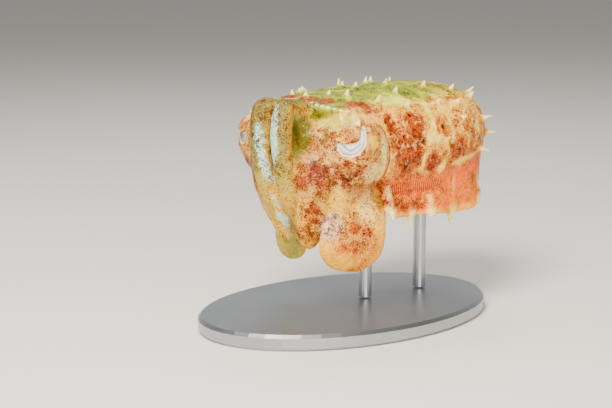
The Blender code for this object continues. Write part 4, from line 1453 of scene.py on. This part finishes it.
@dataclass(frozen=True)
class WetMottledSkin:
    """Living cephalopod skin: pigment sacs in their thousands over a pale, translucent base.

    Real sacs are 0.1 to 0.3 mm across. The two sizes here stand 0.36 and 0.24 mm apart, a little
    coarser than that, so that the render shows them. Glints are the reflecting cells between them, and
    the pale net is the skin of the ridges between blotches. A film of water gives the soft gloss.
    """

    sac_mm: float = 0.36
    small_sac_mm: float = 0.24
    glint_mm: float = 0.6
    blotch_mm: float = 1.3
    fleck_mm: float = 0.5
    net_mm: float = 3.4
    warp_mm: float = 1.9
    warp_by_mm: float = 2.2
    rib_mm: float = 0.5
    relief_mm: float = 0.22
    most_sheen: float = 0.72
    least_glint: float = 0.6

    def ridges(self, node: Callable, place: NodeSocket, fleck: NodeSocket, net: NodeSocket) -> NodeSocket:
        """The pale net: broken lines between warped cells, as strong as the mesh asks."""
        warp = node("ShaderNodeTexNoise", {"Vector": place, "Scale": cells(self.warp_mm)})
        bent = {0: warp["Color"], 1: (self.warp_by_mm * MM,) * 3, 2: place}
        bent = node("ShaderNodeVectorMath", bent, operation="MULTIPLY_ADD")[0]
        line = {"Vector": bent, "Scale": cells(self.net_mm)}
        line = node("ShaderNodeTexVoronoi", line, feature="DISTANCE_TO_EDGE")["Distance"]
        line = node("ShaderNodeMath", {0: fleck, 1: 0.35, 2: line}, operation="MULTIPLY_ADD")[0]
        line = spanned(line, 0.15, 0.34, 1.0, 0.0)
        line = node("ShaderNodeMapRange", line, interpolation_type="SMOOTHSTEP")[0]
        broken = spanned(warp["Fac"], 0.4, 0.56)
        broken = node("ShaderNodeMapRange", broken, interpolation_type="SMOOTHSTEP")[0]
        line = node("ShaderNodeMath", {0: line, 1: broken}, operation="MULTIPLY")[0]
        return node("ShaderNodeMath", {0: line, 1: net}, operation="MULTIPLY")[0]

    def washed(
        self, node: Callable, ground: NodeSocket, ridge: NodeSocket, fleck: NodeSocket
    ) -> NodeSocket:
        """The ground, lighter and darker in flecks, with the pale net on it."""
        shade = node("ShaderNodeMapRange", spanned(fleck, 0.3, 0.7, 0.72, 1.18))[0]
        base = node("ShaderNodeVectorMath", {0: ground, "Scale": shade}, operation="SCALE")[0]
        pale = node("ShaderNodeMath", {0: ridge, 1: 0.6}, operation="MULTIPLY")[0]
        base = {0: pale, 6: base, 7: rgba(Tone.PALE)}
        return node("ShaderNodeMix", base, data_type="RGBA")[2]

    def dotted(
        self, node: Callable, place: NodeSocket, colour: NodeSocket, tint: NodeSocket, amount: NodeSocket
    ) -> NodeSocket:
        """A colour under small sacs, and large ones that vary in size and darkness."""
        spots = [{"Vector": place, "Scale": cells(size)} for size in (self.sac_mm, self.small_sac_mm)]
        sacs, small = (node("ShaderNodeTexVoronoi", spot) for spot in spots)
        radius = node("ShaderNodeMath", {0: amount, 1: 0.5}, operation="POWER")[0]
        chance = node("ShaderNodeSeparateColor", {"Color": sacs["Color"]})[0]
        deep = {0: chance, 6: tint, 7: rgba(Tone.INK)}
        deep = node("ShaderNodeMix", deep, data_type="RGBA")[2]
        spread = node("ShaderNodeMapRange", spanned(chance, 0.0, 1.0, 0.6, 1.2))[0]
        varied = node("ShaderNodeMath", {0: radius, 1: spread}, operation="MULTIPLY")[0]
        layers = ((small, radius, 0.57, 0.8, tint), (sacs, varied, 0.6, 0.9, deep))
        for spot, size, share, strength, ink in layers:
            edge = {0: size, 1: -share, 2: spot["Distance"]}
            edge = node("ShaderNodeMath", edge, operation="MULTIPLY_ADD")[0]
            dots = spanned(edge, -0.16, 0.12, strength, 0.0)
            dots = node("ShaderNodeMapRange", dots, interpolation_type="SMOOTHSTEP")[0]
            colour = node("ShaderNodeMix", {0: dots, 6: colour, 7: ink}, data_type="RGBA")[2]
        return colour

    def glints(self, node: Callable, place: NodeSocket) -> NodeSocket:
        """How strongly a few scattered cells shine."""
        spots = node("ShaderNodeTexVoronoi", {"Vector": place, "Scale": cells(self.glint_mm)})
        some = node("ShaderNodeSeparateColor", {"Color": spots["Color"]})[0]
        some = {0: some, 1: self.least_glint}
        some = node("ShaderNodeMath", some, operation="GREATER_THAN")[0]
        shine = spanned(spots["Distance"], 0.06, 0.22, 0.3, 0.0)
        shine = node("ShaderNodeMapRange", shine)[0]
        return node("ShaderNodeMath", {0: shine, 1: some}, operation="MULTIPLY")[0]

    def material(self) -> Material:
        """The skin's material, which reads the markings kept on the mesh."""
        material, tree, shader = new_material("wet_mottled_skin")
        node = partial(add_node, tree)
        names = ("ground", "tint", "pigment", "silver", "ribs", "net")
        read = {name: node("ShaderNodeAttribute", attribute_name=name) for name in names}
        ground, tint = (read[name]["Color"] for name in names[:2])
        pigment, silver, ribs, net = (read[name]["Fac"] for name in names[2:])
        place = node("ShaderNodeTexCoord")["Object"]
        sizes = (self.blotch_mm, self.fleck_mm)
        clouds = [{"Vector": place, "Scale": cells(size), "Detail": 4.0} for size in sizes]
        blotch, fleck = (node("ShaderNodeTexNoise", cloud)["Fac"] for cloud in clouds)
        ridge = self.ridges(node, place, fleck, net)

        uneven = node("ShaderNodeMapRange", spanned(blotch, 0.34, 0.66, 0.45, 1.5))[0]
        amount = node("ShaderNodeMath", {0: pigment, 1: uneven}, operation="MULTIPLY")[0]
        left = node("ShaderNodeMath", {0: ridge, 1: -0.8, 2: 1.0}, operation="MULTIPLY_ADD")[0]
        amount = node("ShaderNodeMath", {0: amount, 1: left}, operation="MULTIPLY")[0]
        wash = node("ShaderNodeMath", {0: amount, 1: 0.7}, operation="MULTIPLY", use_clamp=True)
        sheen = node("ShaderNodeMath", {0: silver, 1: uneven}, operation="MULTIPLY")[0]
        sheen = node("ShaderNodeMath", {0: sheen, 1: self.most_sheen}, operation="MINIMUM")[0]
        colour = {0: wash[0], 6: self.washed(node, ground, ridge, fleck), 7: tint}
        colour = node("ShaderNodeMix", colour, data_type="RGBA")[2]
        colour = {0: sheen, 6: colour, 7: rgba(Tone.SILVER)}
        colour = node("ShaderNodeMix", colour, data_type="RGBA")[2]
        colour = self.dotted(node, place, colour, tint, amount)
        bands = {"Vector": place, "Scale": 0.314 / (self.rib_mm * MM), "Distortion": 1.6}
        bands = node("ShaderNodeTexWave", bands, bands_direction="X")["Fac"]
        bands = node("ShaderNodeMath", {0: bands, 1: ribs}, operation="MULTIPLY")[0]
        for share, tone in ((self.glints(node, place), Tone.GLINT), (bands, Tone.STRIA)):
            colour = {0: share, 6: colour, 7: rgba(tone)}
            colour = node("ShaderNodeMix", colour, data_type="RGBA")[2]

        relief = {0: ridge, 1: 0.9, 2: fleck}
        relief = node("ShaderNodeMath", relief, operation="MULTIPLY_ADD")[0]
        bump = {"Height": relief, "Distance": self.relief_mm * MM, "Strength": 0.7}
        wet = {
            "Base Color": colour,
            "Roughness": node("ShaderNodeMapRange", spanned(fleck, 0.3, 0.7, 0.42, 0.62))[0],
            "Normal": node("ShaderNodeBump", bump)[0],
            "IOR": 1.38,
            "Specular IOR Level": 0.15,
            "Subsurface Weight": 0.08,
            "Subsurface Radius": (1.0, 0.45, 0.25),
            "Subsurface Scale": 0.7 * MM,
            "Coat Weight": 0.12,
            "Coat Roughness": 0.12,
            "Coat IOR": 1.33,
        }
        wire(shader, wet)
        return material


@dataclass(frozen=True)
class SilveryIris:
    """The iris: white and pearly from stacked reflecting plates, under a wet cornea."""

    pearl: str = "#FFFDF6"
    warm_pearl: str = "#FFFDF4"
    slit: str = "#1E0A0C"
    blush: str = "#D9A79A"
    fibre_mm: float = 0.5

    def material(self) -> Material:
        """The eyeball's material, which reads where the slit and the blush lie."""
        material, tree, shader = new_material("pearly_iris")
        node = partial(add_node, tree)
        marks = [node("ShaderNodeAttribute", attribute_name=name) for name in ("blush", "slit")]
        place = node("ShaderNodeTexCoord")["Object"]
        fibres = {"Vector": place, "Scale": cells(self.fibre_mm), "Detail": 4.0, "Roughness": 0.7}
        fibres = node("ShaderNodeTexNoise", fibres)
        colour = rgba(self.pearl)
        for mark, tone in zip((fibres, *marks), (self.warm_pearl, self.blush, self.slit)):
            layer = {"Factor": mark["Fac"], 6: colour, 7: rgba(tone)}
            colour = node("ShaderNodeMix", layer, data_type="RGBA")[2]
        wire(shader, {"Base Color": colour, "Roughness": 0.3, "IOR": 1.38})
        wire(shader, {"Coat Weight": 1.0, "Coat Roughness": 0.03, "Coat IOR": 1.376})
        return material


@dataclass(frozen=True)
class ClearCornea:
    """The cornea: clear wet tissue that shows only by its highlights."""

    ior: float = 1.376
    roughness: float = 0.04

    def material(self) -> Material:
        """Clear but for the light that its surface throws back."""
        material, tree, shader = new_material("clear_cornea")
        tree.nodes.remove(shader)
        node = partial(add_node, tree)
        clear = node("ShaderNodeBsdfTransparent")[0]
        gloss = node("ShaderNodeBsdfGlossy", {"Roughness": self.roughness})[0]
        edge = node("ShaderNodeFresnel", {"IOR": self.ior})[0]
        both = node("ShaderNodeMixShader", {0: edge, 1: clear, 2: gloss})[0]
        wire(tree.nodes["Material Output"], {"Surface": both})
        return material


@dataclass(frozen=True)
class SuckerFlesh:
    """The suckers: pale, moist muscle with a faint warm tinge."""

    flesh: str = "#F1DFC4"
    warm_flesh: str = "#DDB98C"
    cloud_mm: float = 0.6

    def material(self) -> Material:
        """Pale flesh, warmer and a little darker in soft random clouds."""
        material, tree, shader = new_material("sucker_flesh")
        node = partial(add_node, tree)
        place = node("ShaderNodeTexCoord")["Object"]
        cloud = {"Vector": place, "Scale": cells(self.cloud_mm), "Detail": 3.0}
        cloud = node("ShaderNodeTexNoise", cloud)["Fac"]
        colour = {"Factor": cloud, 6: rgba(self.flesh), 7: rgba(self.warm_flesh)}
        colour = node("ShaderNodeMix", colour, data_type="RGBA")[2]
        moist = {
            "Base Color": colour,
            "Roughness": 0.4,
            "IOR": 1.38,
            "Subsurface Weight": 0.15,
            "Subsurface Radius": (1.0, 0.6, 0.4),
            "Subsurface Scale": 0.5 * MM,
            "Coat Weight": 0.3,
            "Coat Roughness": 0.15,
        }
        wire(shader, moist)
        return material


@dataclass(frozen=True)
class BrushedSteel:
    """Stainless steel with a satin brushed face, which draws highlights into soft streaks."""

    steel: str = "#B9BCC0"
    handled_steel: str = "#9DA1A6"
    stroke_mm: float = 0.12
    streak_mm: float = 9.0
    cloud_mm: float = 14.0
    depth_mm: float = 0.01

    def material(self) -> Material:
        """Fine scratches along X, with cloudy handling marks."""
        material, tree, shader = new_material("brushed_stainless_steel")
        node = partial(add_node, tree)
        place = node("ShaderNodeTexCoord")["Object"]
        across = cells(self.stroke_mm)
        stretched = {"Vector": place, "Scale": (cells(self.streak_mm), across, across)}
        stretched = node("ShaderNodeMapping", stretched)[0]
        scratch = {"Vector": stretched, "Scale": 1.0, "Detail": 3.0, "Roughness": 0.7}
        scratch = node("ShaderNodeTexNoise", scratch)["Fac"]
        cloud = {"Vector": place, "Scale": cells(self.cloud_mm), "Detail": 2.0}
        cloud = node("ShaderNodeTexNoise", cloud)["Fac"]
        rough = node("ShaderNodeMath", {0: scratch, 1: 0.22, 2: 0.24}, operation="MULTIPLY_ADD")
        tone = {"Factor": cloud, 6: rgba(self.steel), 7: rgba(self.handled_steel)}
        tone = node("ShaderNodeMix", tone, data_type="RGBA")[2]
        bump = {"Height": scratch, "Distance": self.depth_mm * MM, "Strength": 0.5}
        bump = node("ShaderNodeBump", bump)["Normal"]
        wire(shader, {"Base Color": tone, "Roughness": rough[0], "Normal": bump})
        wire(shader, {"Metallic": 1.0})
        return material


@dataclass(frozen=True)
class StudioPaper:
    """Seamless background paper: matt, pale and even, with a trace of fibre."""

    paper: str = "#E9E6DF"
    fibre_paper: str = "#E4E1DA"
    fibre_mm: float = 1.5

    def material(self) -> Material:
        """A soft, nearly even pale tone."""
        material, tree, shader = new_material("seamless_paper")
        node = partial(add_node, tree)
        place = node("ShaderNodeTexCoord")["Object"]
        fibre = {"Vector": place, "Scale": cells(self.fibre_mm), "Detail": 4.0}
        fibre = node("ShaderNodeTexNoise", fibre)["Fac"]
        tone = {"Factor": fibre, 6: rgba(self.paper), 7: rgba(self.fibre_paper)}
        tone = node("ShaderNodeMix", tone, data_type="RGBA")[2]
        wire(shader, {"Base Color": tone, "Roughness": 0.85})
        return material


# Pieces


def arm_set(head_frame: HeadFrame) -> list[Arm]:
    """The eight arms, in pairs from the top, as the solids have them."""

    def pair_of(
        pair: str,
        line: tuple[Triple, ...],
        outward: tuple[Triple, ...],
        half_widths: Row,
        half_depths: Row,
        squeeze: float,
        right_widths: Row | None = None,
    ) -> list[Arm]:
        """A left arm and the right one, drawn in by squeeze towards its tip."""
        left, ways = np.array(line), np.array(outward)
        share = 1 + (squeeze - 1) * (np.arange(len(line)) / (len(line) - 1)) ** 0.7
        right = left * np.array((1.0, -1.0, 1.0))
        right[:, :2] *= share[:, None]
        flipped = ways * np.array((1.0, -1.0, 1.0))
        return [
            Arm(head_frame, pair, 1, left, ways, half_widths, half_depths),
            Arm(head_frame, pair, -1, right, flipped, right_widths or half_widths, half_depths),
        ]

    first = pair_of(
        "first",
        (
            (3.0, 2.25, 2.0), (7.9, 2.2, 6.5), (10.6, 2.2, 7.6), (11.5, 2.2, 4.4), (11.3, 2.2, 0.0),
            (10.3, 2.15, -4.5), (8.5, 2.05, -9.0), (6.1, 1.9, -13.0), (4.2, 1.8, -16.0),
        ),
        ((-0.5, 0.0, 1.0), (1.0, 0.0, 0.3), (1.0, 0.1, -0.2), (0.9, 0.1, 0.5)),
        (2.05, 2.05, 2.05, 1.9, 1.5),
        (1.9, 1.9, 1.8, 1.6, 1.1),
        1.1,
        (2.05, 2.1, 2.15, 1.95, 1.5),
    )
    second = pair_of(
        "second",
        (
            (4.0, 5.0, -1.0), (7.8, 6.6, -3.0), (8.9, 6.7, -6.0), (8.2, 6.1, -10.5),
            (6.9, 4.9, -14.5), (5.9, 3.9, -18.0),
        ),
        ((0.6, 0.6, 0.6), (0.7, 0.7, 0.1), (0.7, 0.7, -0.2), (0.6, 0.8, 0.2)),
        (2.3, 2.6, 2.8, 2.7, 1.9),
        (1.8, 1.9, 1.8, 1.5, 1.0),
        0.74,
    )
    third = pair_of(
        "third",
        (
            (2.0, 5.5, -5.0), (4.4, 8.2, -7.4), (4.4, 8.2, -11.0), (3.2, 6.6, -14.5),
            (2.2, 5.2, -17.0),
        ),
        ((0.3, 0.9, 0.4), (0.35, 0.95, 0.1), (0.3, 0.95, 0.0), (0.3, 0.95, 0.0)),
        (2.4, 2.8, 2.6, 2.2, 1.5),
        (1.8, 1.9, 1.7, 1.4, 1.0),
        0.8,
    )
    fourth = pair_of(
        "fourth",
        (
            (-2.0, 6.0, -5.5), (-1.6, 9.0, -9.0), (0.4, 10.4, -13.5), (1.8, 10.4, -17.5),
            (2.2, 9.9, -22.3),
        ),
        ((0.1, 0.9, 0.3), (0.4, 0.92, 0.1), (0.45, 0.89, 0.0), (0.5, 0.85, -0.1)),
        (3.4, 5.2, 6.1, 6.3, 4.8),
        (2.2, 2.1, 1.7, 1.3, 0.9),
        1.0,
    )
    fourth_right = Arm(
        head_frame,
        "fourth",
        -1,
        np.array(
            (
                (-2.0, -6.0, -5.5), (-1.6, -8.4, -9.0), (-1.4, -8.2, -13.5), (-1.5, -7.4, -17.5),
                (-1.5, -7.2, -22.9),
            )
        ),
        np.array(((0.1, -0.9, 0.3), (0.6, -0.8, 0.1), (0.96, -0.2, 0.0), (1.0, 0.08, -0.1))),
        (3.0, 3.8, 4.1, 4.2, 3.6),
        (2.2, 2.1, 1.7, 1.3, 0.9),
    )
    return [*first, *second, *third, fourth[0], fourth_right]


@dataclass
class Skin:
    """The whole hide: head, mantle, fins, arms and funnel as one surface."""

    head_frame: HeadFrame
    eyes: list[EyeSite]
    speck: float = 0.01
    wrinkle: float = 0.13
    wrinkles: tuple[tuple[float, float, int], ...] = ((0.6, 2.3, 10), (0.5, 1.1, 11), (0.25, 0.5, 12))
    smoothing: int = 3

    def __post_init__(self) -> None:
        """Makes the forms that the skin covers."""
        self.head = Head(self.head_frame)
        self.mantle = Mantle(self.head)
        self.arms = arm_set(self.head_frame)
        self.fins = [Fin(self.mantle, side) for side in (1, -1)]
        self.funnel = Funnel(self.head_frame)
        points = Papillae(self.mantle, self.head, self.fins)
        self.papillae = points.on_mantle() + points.on_head() + points.on_fins()

    def lattice(self) -> Lattice:
        """All forms on one lattice."""
        made = Lattice()
        radius = self.head.lid_radius
        places = [eye.world()[0] for eye in self.eyes]
        ends = [(place, place + self.speck) for place in places]
        lids = [Taper(*pair, radius, radius, self.head.lid_fillet) for pair in ends]
        points = [papilla.form() for papilla in self.papillae]
        for form in (self.head, *lids, *self.arms, self.funnel, self.mantle, *self.fins, *points):
            made.put(form)
        for eye in self.eyes:
            made.put(EyeOpening(eye), rounded_cut)
        return made

    def build(self) -> Object:
        """The skin's mesh with its markings, standing for every flesh node."""
        points, faces = self.lattice().surface()
        points = relaxed(points, faces, self.smoothing)
        normals = face_normals(points, faces)
        fine = self.wrinkle * sum(share * grain(points, *lumps) for share, *lumps in self.wrinkles)
        shape = mesh_object("skin", points + normals * fine[:, None], faces)
        forms = (self.head, self.mantle, self.arms, self.fins, self.funnel)
        markings = Markings(*forms, self.eyes, self.papillae)
        markings.paint(shape, points)
        shape.data.materials.append(WetMottledSkin().material())
        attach(shape, "root")
        nodes = [name for name in frame["nodes"] if name.startswith(("arm_", "fin_"))]
        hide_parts("mantle", "head", "funnel", *nodes)
        return shape


@dataclass
class Eye:
    """One eyeball with its pearly iris and sunken slit of a pupil, under a clear cornea."""

    site: EyeSite
    name: str
    slit_half_width: float = 0.1
    slit_depth: float = 0.5
    cornea_radius: float = 3.95
    ball_spread: float = math.radians(172)
    cornea_spread: float = math.radians(78)
    rows: int = 150
    cornea_rows: int = 48

    def dome(self, radius: float, spread: float, rows: int) -> tuple[Array, Array]:
        """A cap round the eye's axis.

        Args:
            radius: the cap's radius.
            spread: how far the cap goes from the axis, in radians.
            rows: how many points there are from side to side.

        Returns:
            Directions from the eye's middle in its own frame, and the faces.
        """
        steps = np.linspace(-1.0, 1.0, rows)
        a, b = np.meshgrid(steps, steps, indexing="ij")
        a, b = a.ravel(), b.ravel()
        round_a, round_b = a * np.sqrt(1 - b * b / 2), b * np.sqrt(1 - a * a / 2)
        tilt = np.hypot(round_a, round_b) * spread
        turn = np.arctan2(round_b, round_a)
        flat = np.sin(tilt)
        ways = np.stack((flat * np.cos(turn), flat * np.sin(turn), np.cos(tilt)), axis=1)
        i, j = np.meshgrid(np.arange(rows - 1), np.arange(rows - 1), indexing="ij")
        corner = (i * rows + j).ravel()
        faces = np.stack((corner, corner + rows, corner + rows + 1, corner + 1), axis=1)
        return ways * radius, faces

    def placed(self, local: Array) -> Array:
        """Points of the eye's frame, across, up and forward, in the world."""
        place, axis, across = self.site.world()
        return place + local @ np.array((across, UP, axis))

    def outward(self, faces: Array) -> Array:
        """Faces turned so that they face out of the head on either side."""
        _, axis, across = self.site.world()
        return faces if np.cross(across, UP) @ axis > 0 else faces[:, ::-1]

    def build(self) -> list[Object]:
        """The eyeball and the cornea."""
        local, faces = self.dome(self.site.radius, self.ball_spread, self.rows)
        scale = self.site.lid_radius / self.site.radius
        flat = local[:, :2] * scale
        line = np.array([(*place, self.slit_half_width) for place in self.site.slit])
        away = np.where(local[:, 2] > 0, stroke(flat, line), FAR)
        sunk = self.slit_depth * rise(away, 0.06, -0.04)
        local = local * (1 - sunk / self.site.radius)[:, None]
        ball = mesh_object(self.name + "_ball", self.placed(local), self.outward(faces))
        store(ball, "slit", rise(away, 0.08, 0.0))
        store(ball, "blush", 0.5 * rise(self.site.crescent(*flat.T), -0.35, 0.0))
        ball.data.materials.append(SilveryIris().material())
        local, faces = self.dome(self.cornea_radius, self.cornea_spread, self.cornea_rows)
        cornea = mesh_object(self.name + "_cornea", self.placed(local), self.outward(faces))
        cornea.data.materials.append(ClearCornea().material())
        for piece in (ball, cornea):
            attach(piece, "root")
        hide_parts(self.name)
        return [ball, cornea]


@dataclass
class Suckers:
    """The cups on the inner faces of the arms, in two rows to each tip."""

    arms: list[Arm]
    each_row: int = 9
    hidden: float = 0.42
    last: float = 0.945
    first_share: float = 0.2
    span: float = 0.74
    stagger: float = 0.25
    widest_offset: float = 1.15
    offset_share: float = 0.42
    root_radius: float = 0.62
    narrowing: float = 0.3
    sides: int = 14
    profile: tuple[Pair, ...] = (
        (0.72, -0.7), (0.7, 0.1), (0.86, 0.42), (1.0, 0.7), (0.94, 0.86), (0.74, 0.84), (0.6, 0.6),
        (0.34, 0.4), (0.02, 0.36),
    )

    def build(self) -> Object:
        """All suckers as one mesh."""
        points, faces = [], []
        for arm in self.arms:
            for k in range(self.each_row):
                for row in (-1, 1):
                    step = (k + self.stagger * row) / (self.each_row - 1)
                    share = self.first_share + self.span * step
                    if self.hidden < share < self.last:
                        self.cup(arm, share, row, points, faces)
        made = mesh_object("suckers", np.concatenate(points), np.concatenate(faces))
        made.data.materials.append(SuckerFlesh().material())
        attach(made, "root")
        return made

    def cup(self, arm: Arm, share: float, row: int, points: list, faces: list) -> None:
        """Adds one sucker to the lists of points and faces."""
        at = np.array([share])
        wide, deep = (size[0] for size in arm.sizes(at))
        i = int(round(share * (arm.count - 1)))
        middle = through(arm.line, at)[0]
        offset = row * min(self.offset_share * wide, self.widest_offset)
        lift = deep * (1 - (abs(offset) / wide) ** arm.fullness) ** (1 / arm.fullness)
        root = middle + arm.sideways[i] * offset - arm.outwards[i] * lift
        radius = self.root_radius - self.narrowing * share
        way, one, two = -arm.outwards[i], arm.sideways[i], arm.tangents[i]
        turns = 2 * math.pi * np.arange(self.sides) / self.sides
        ring = np.cos(turns)[:, None] * one + np.sin(turns)[:, None] * two
        start = sum(len(group) for group in points)
        for wide_share, height in self.profile:
            group = root + radius * (ring * wide_share + way * height)
            points.append(arm.frame.placed(group))
        for level in range(len(self.profile) - 1):
            here = start + level * self.sides + np.arange(self.sides)
            after = start + level * self.sides + (np.arange(self.sides) + 1) % self.sides
            quads = np.stack((here, after, after + self.sides, here + self.sides), axis=1)
            faces.append(quads if np.cross(one, two) @ way > 0 else quads[:, ::-1])


@dataclass
class Stand:
    """The steel stand, whose solids keep their shape and get their finish."""

    nodes: tuple[str, ...] = ("stand_base", "stand_rod_front", "stand_rod_rear")

    def dress(self) -> None:
        """Gives the stand's solids brushed steel."""
        steel = BrushedSteel().material()
        for name in self.nodes:
            solid = frame["nodes"][name]
            solid.data.materials.clear()
            solid.data.materials.append(steel)


@dataclass
class Studio:
    """A pale floor, soft lights and the camera at the photograph's angle."""

    target: Triple = (0.0, 0.0, 34.0)
    azimuth: float = math.radians(-39)
    elevation: float = math.radians(8)
    away: float = 280.0
    lens: float = 87.0
    aim_right: float = -7.5
    aim_up: float = -11.83
    floor_radius: float = 3000.0
    lights: tuple[tuple[str, float, float, float, float, float, str], ...] = (
        ("key", -58.0, 44.0, 330.0, 150.0, 2.85, "#FFF6EA"),
        ("fill", -22.0, 8.0, 420.0, 320.0, 1.5, "#F8F6F0"),
        ("rim", 150.0, 62.0, 400.0, 220.0, 0.9, "#FFFFFF"),
    )

    def back(self, azimuth: float, elevation: float) -> Vector:
        """The way from the object towards a viewer, with angles in radians."""
        flat = math.cos(elevation)
        return Vector((math.sin(azimuth) * flat, -math.cos(azimuth) * flat, math.sin(elevation)))

    def build_floor(self) -> Object:
        """A wide round floor of paper."""
        sides, rings = 48, 8
        points = [(0.0, 0.0, 0.0)]
        for ring in range(1, rings + 1):
            radius = self.floor_radius * (ring / rings) ** 2
            for k in range(sides):
                turn = 2 * math.pi * k / sides
                points.append((radius * math.cos(turn), radius * math.sin(turn), 0.0))
        faces = [(0, 1 + k, 1 + (k + 1) % sides) for k in range(sides)]
        for ring in range(rings - 1):
            start = 1 + ring * sides
            for k in range(sides):
                after = (k + 1) % sides
                faces.append((start + k, start + sides + k, start + sides + after, start + after))
        mesh = bpy.data.meshes.new("floor")
        mesh.from_pydata([Vector(p) * MM for p in points], [], faces)
        floor = added("floor", mesh)
        mesh.materials.append(StudioPaper().material())
        return floor

    def build_lights(self) -> None:
        """Soft area lights and a pale surround."""
        target = Vector(self.target) * MM
        for name, azimuth, elevation, away, size, power, colour in self.lights:
            light = bpy.data.lights.new(name, "AREA")
            light.shape = "DISK"
            light.size = size * MM
            light.energy = power
            light.color = linear(colour).tolist()
            lamp = added(name, light)
            back = self.back(math.radians(azimuth), math.radians(elevation))
            lamp.location = target + back * away * MM
            lamp.rotation_euler = (-back).to_track_quat("-Z", "Y").to_euler()
        world = bpy.data.worlds.new("studio")
        world.use_nodes = True
        tree = world.node_tree
        surround = tree.nodes["Background"]
        wire(surround, {"Color": rgba("#F4F3F0")})
        way = add_node(tree, "ShaderNodeTexCoord")["Generated"]
        height = add_node(tree, "ShaderNodeSeparateXYZ", {0: way})["Z"]
        glow = spanned(height, 0.05, 0.75, 0.85, 0.25)
        glow = add_node(tree, "ShaderNodeMapRange", glow, interpolation_type="SMOOTHSTEP")
        wire(surround, {"Strength": glow[0]})
        bpy.context.scene.world = world

    def build_camera(self) -> Object:
        """The camera, where the photographer's was."""
        back = self.back(self.azimuth, self.elevation)
        right = Vector((math.cos(self.azimuth), math.sin(self.azimuth), 0.0))
        up = back.cross(right)
        target = Vector(self.target)
        place = target + back * self.away
        aim = target + right * self.aim_right + up * self.aim_up
        data = bpy.data.cameras.new("camera")
        data.lens = self.lens
        data.sensor_width = 36.0
        data.clip_start = 0.01
        data.clip_end = 20.0
        camera = added("camera", data)
        camera.location = place * MM
        camera.rotation_euler = (aim - place).to_track_quat("-Z", "Y").to_euler()
        bpy.context.scene.camera = camera
        return camera


def main() -> None:
    """Builds the studio, the animal and the stand."""
    logging.basicConfig(level=logging.INFO, format="%(name)s: %(message)s")
    studio = Studio()
    studio.build_camera()
    studio.build_floor()
    studio.build_lights()
    head_frame = HeadFrame()
    sites = {"eye_left": EyeSite(head_frame, 1), "eye_right": EyeSite(head_frame, -1)}
    skin = Skin(head_frame, list(sites.values()))
    hide = skin.build()
    LOG.info("%s has %d faces", hide.name, len(hide.data.polygons))
    for name, site in sites.items():
        for piece in Eye(site, name).build():
            LOG.info("%s has %d faces", piece.name, len(piece.data.polygons))
    cups = Suckers(skin.arms).build()
    LOG.info("%s has %d faces", cups.name, len(cups.data.polygons))
    Stand().dress()


if __name__ == "__main__":
    main()
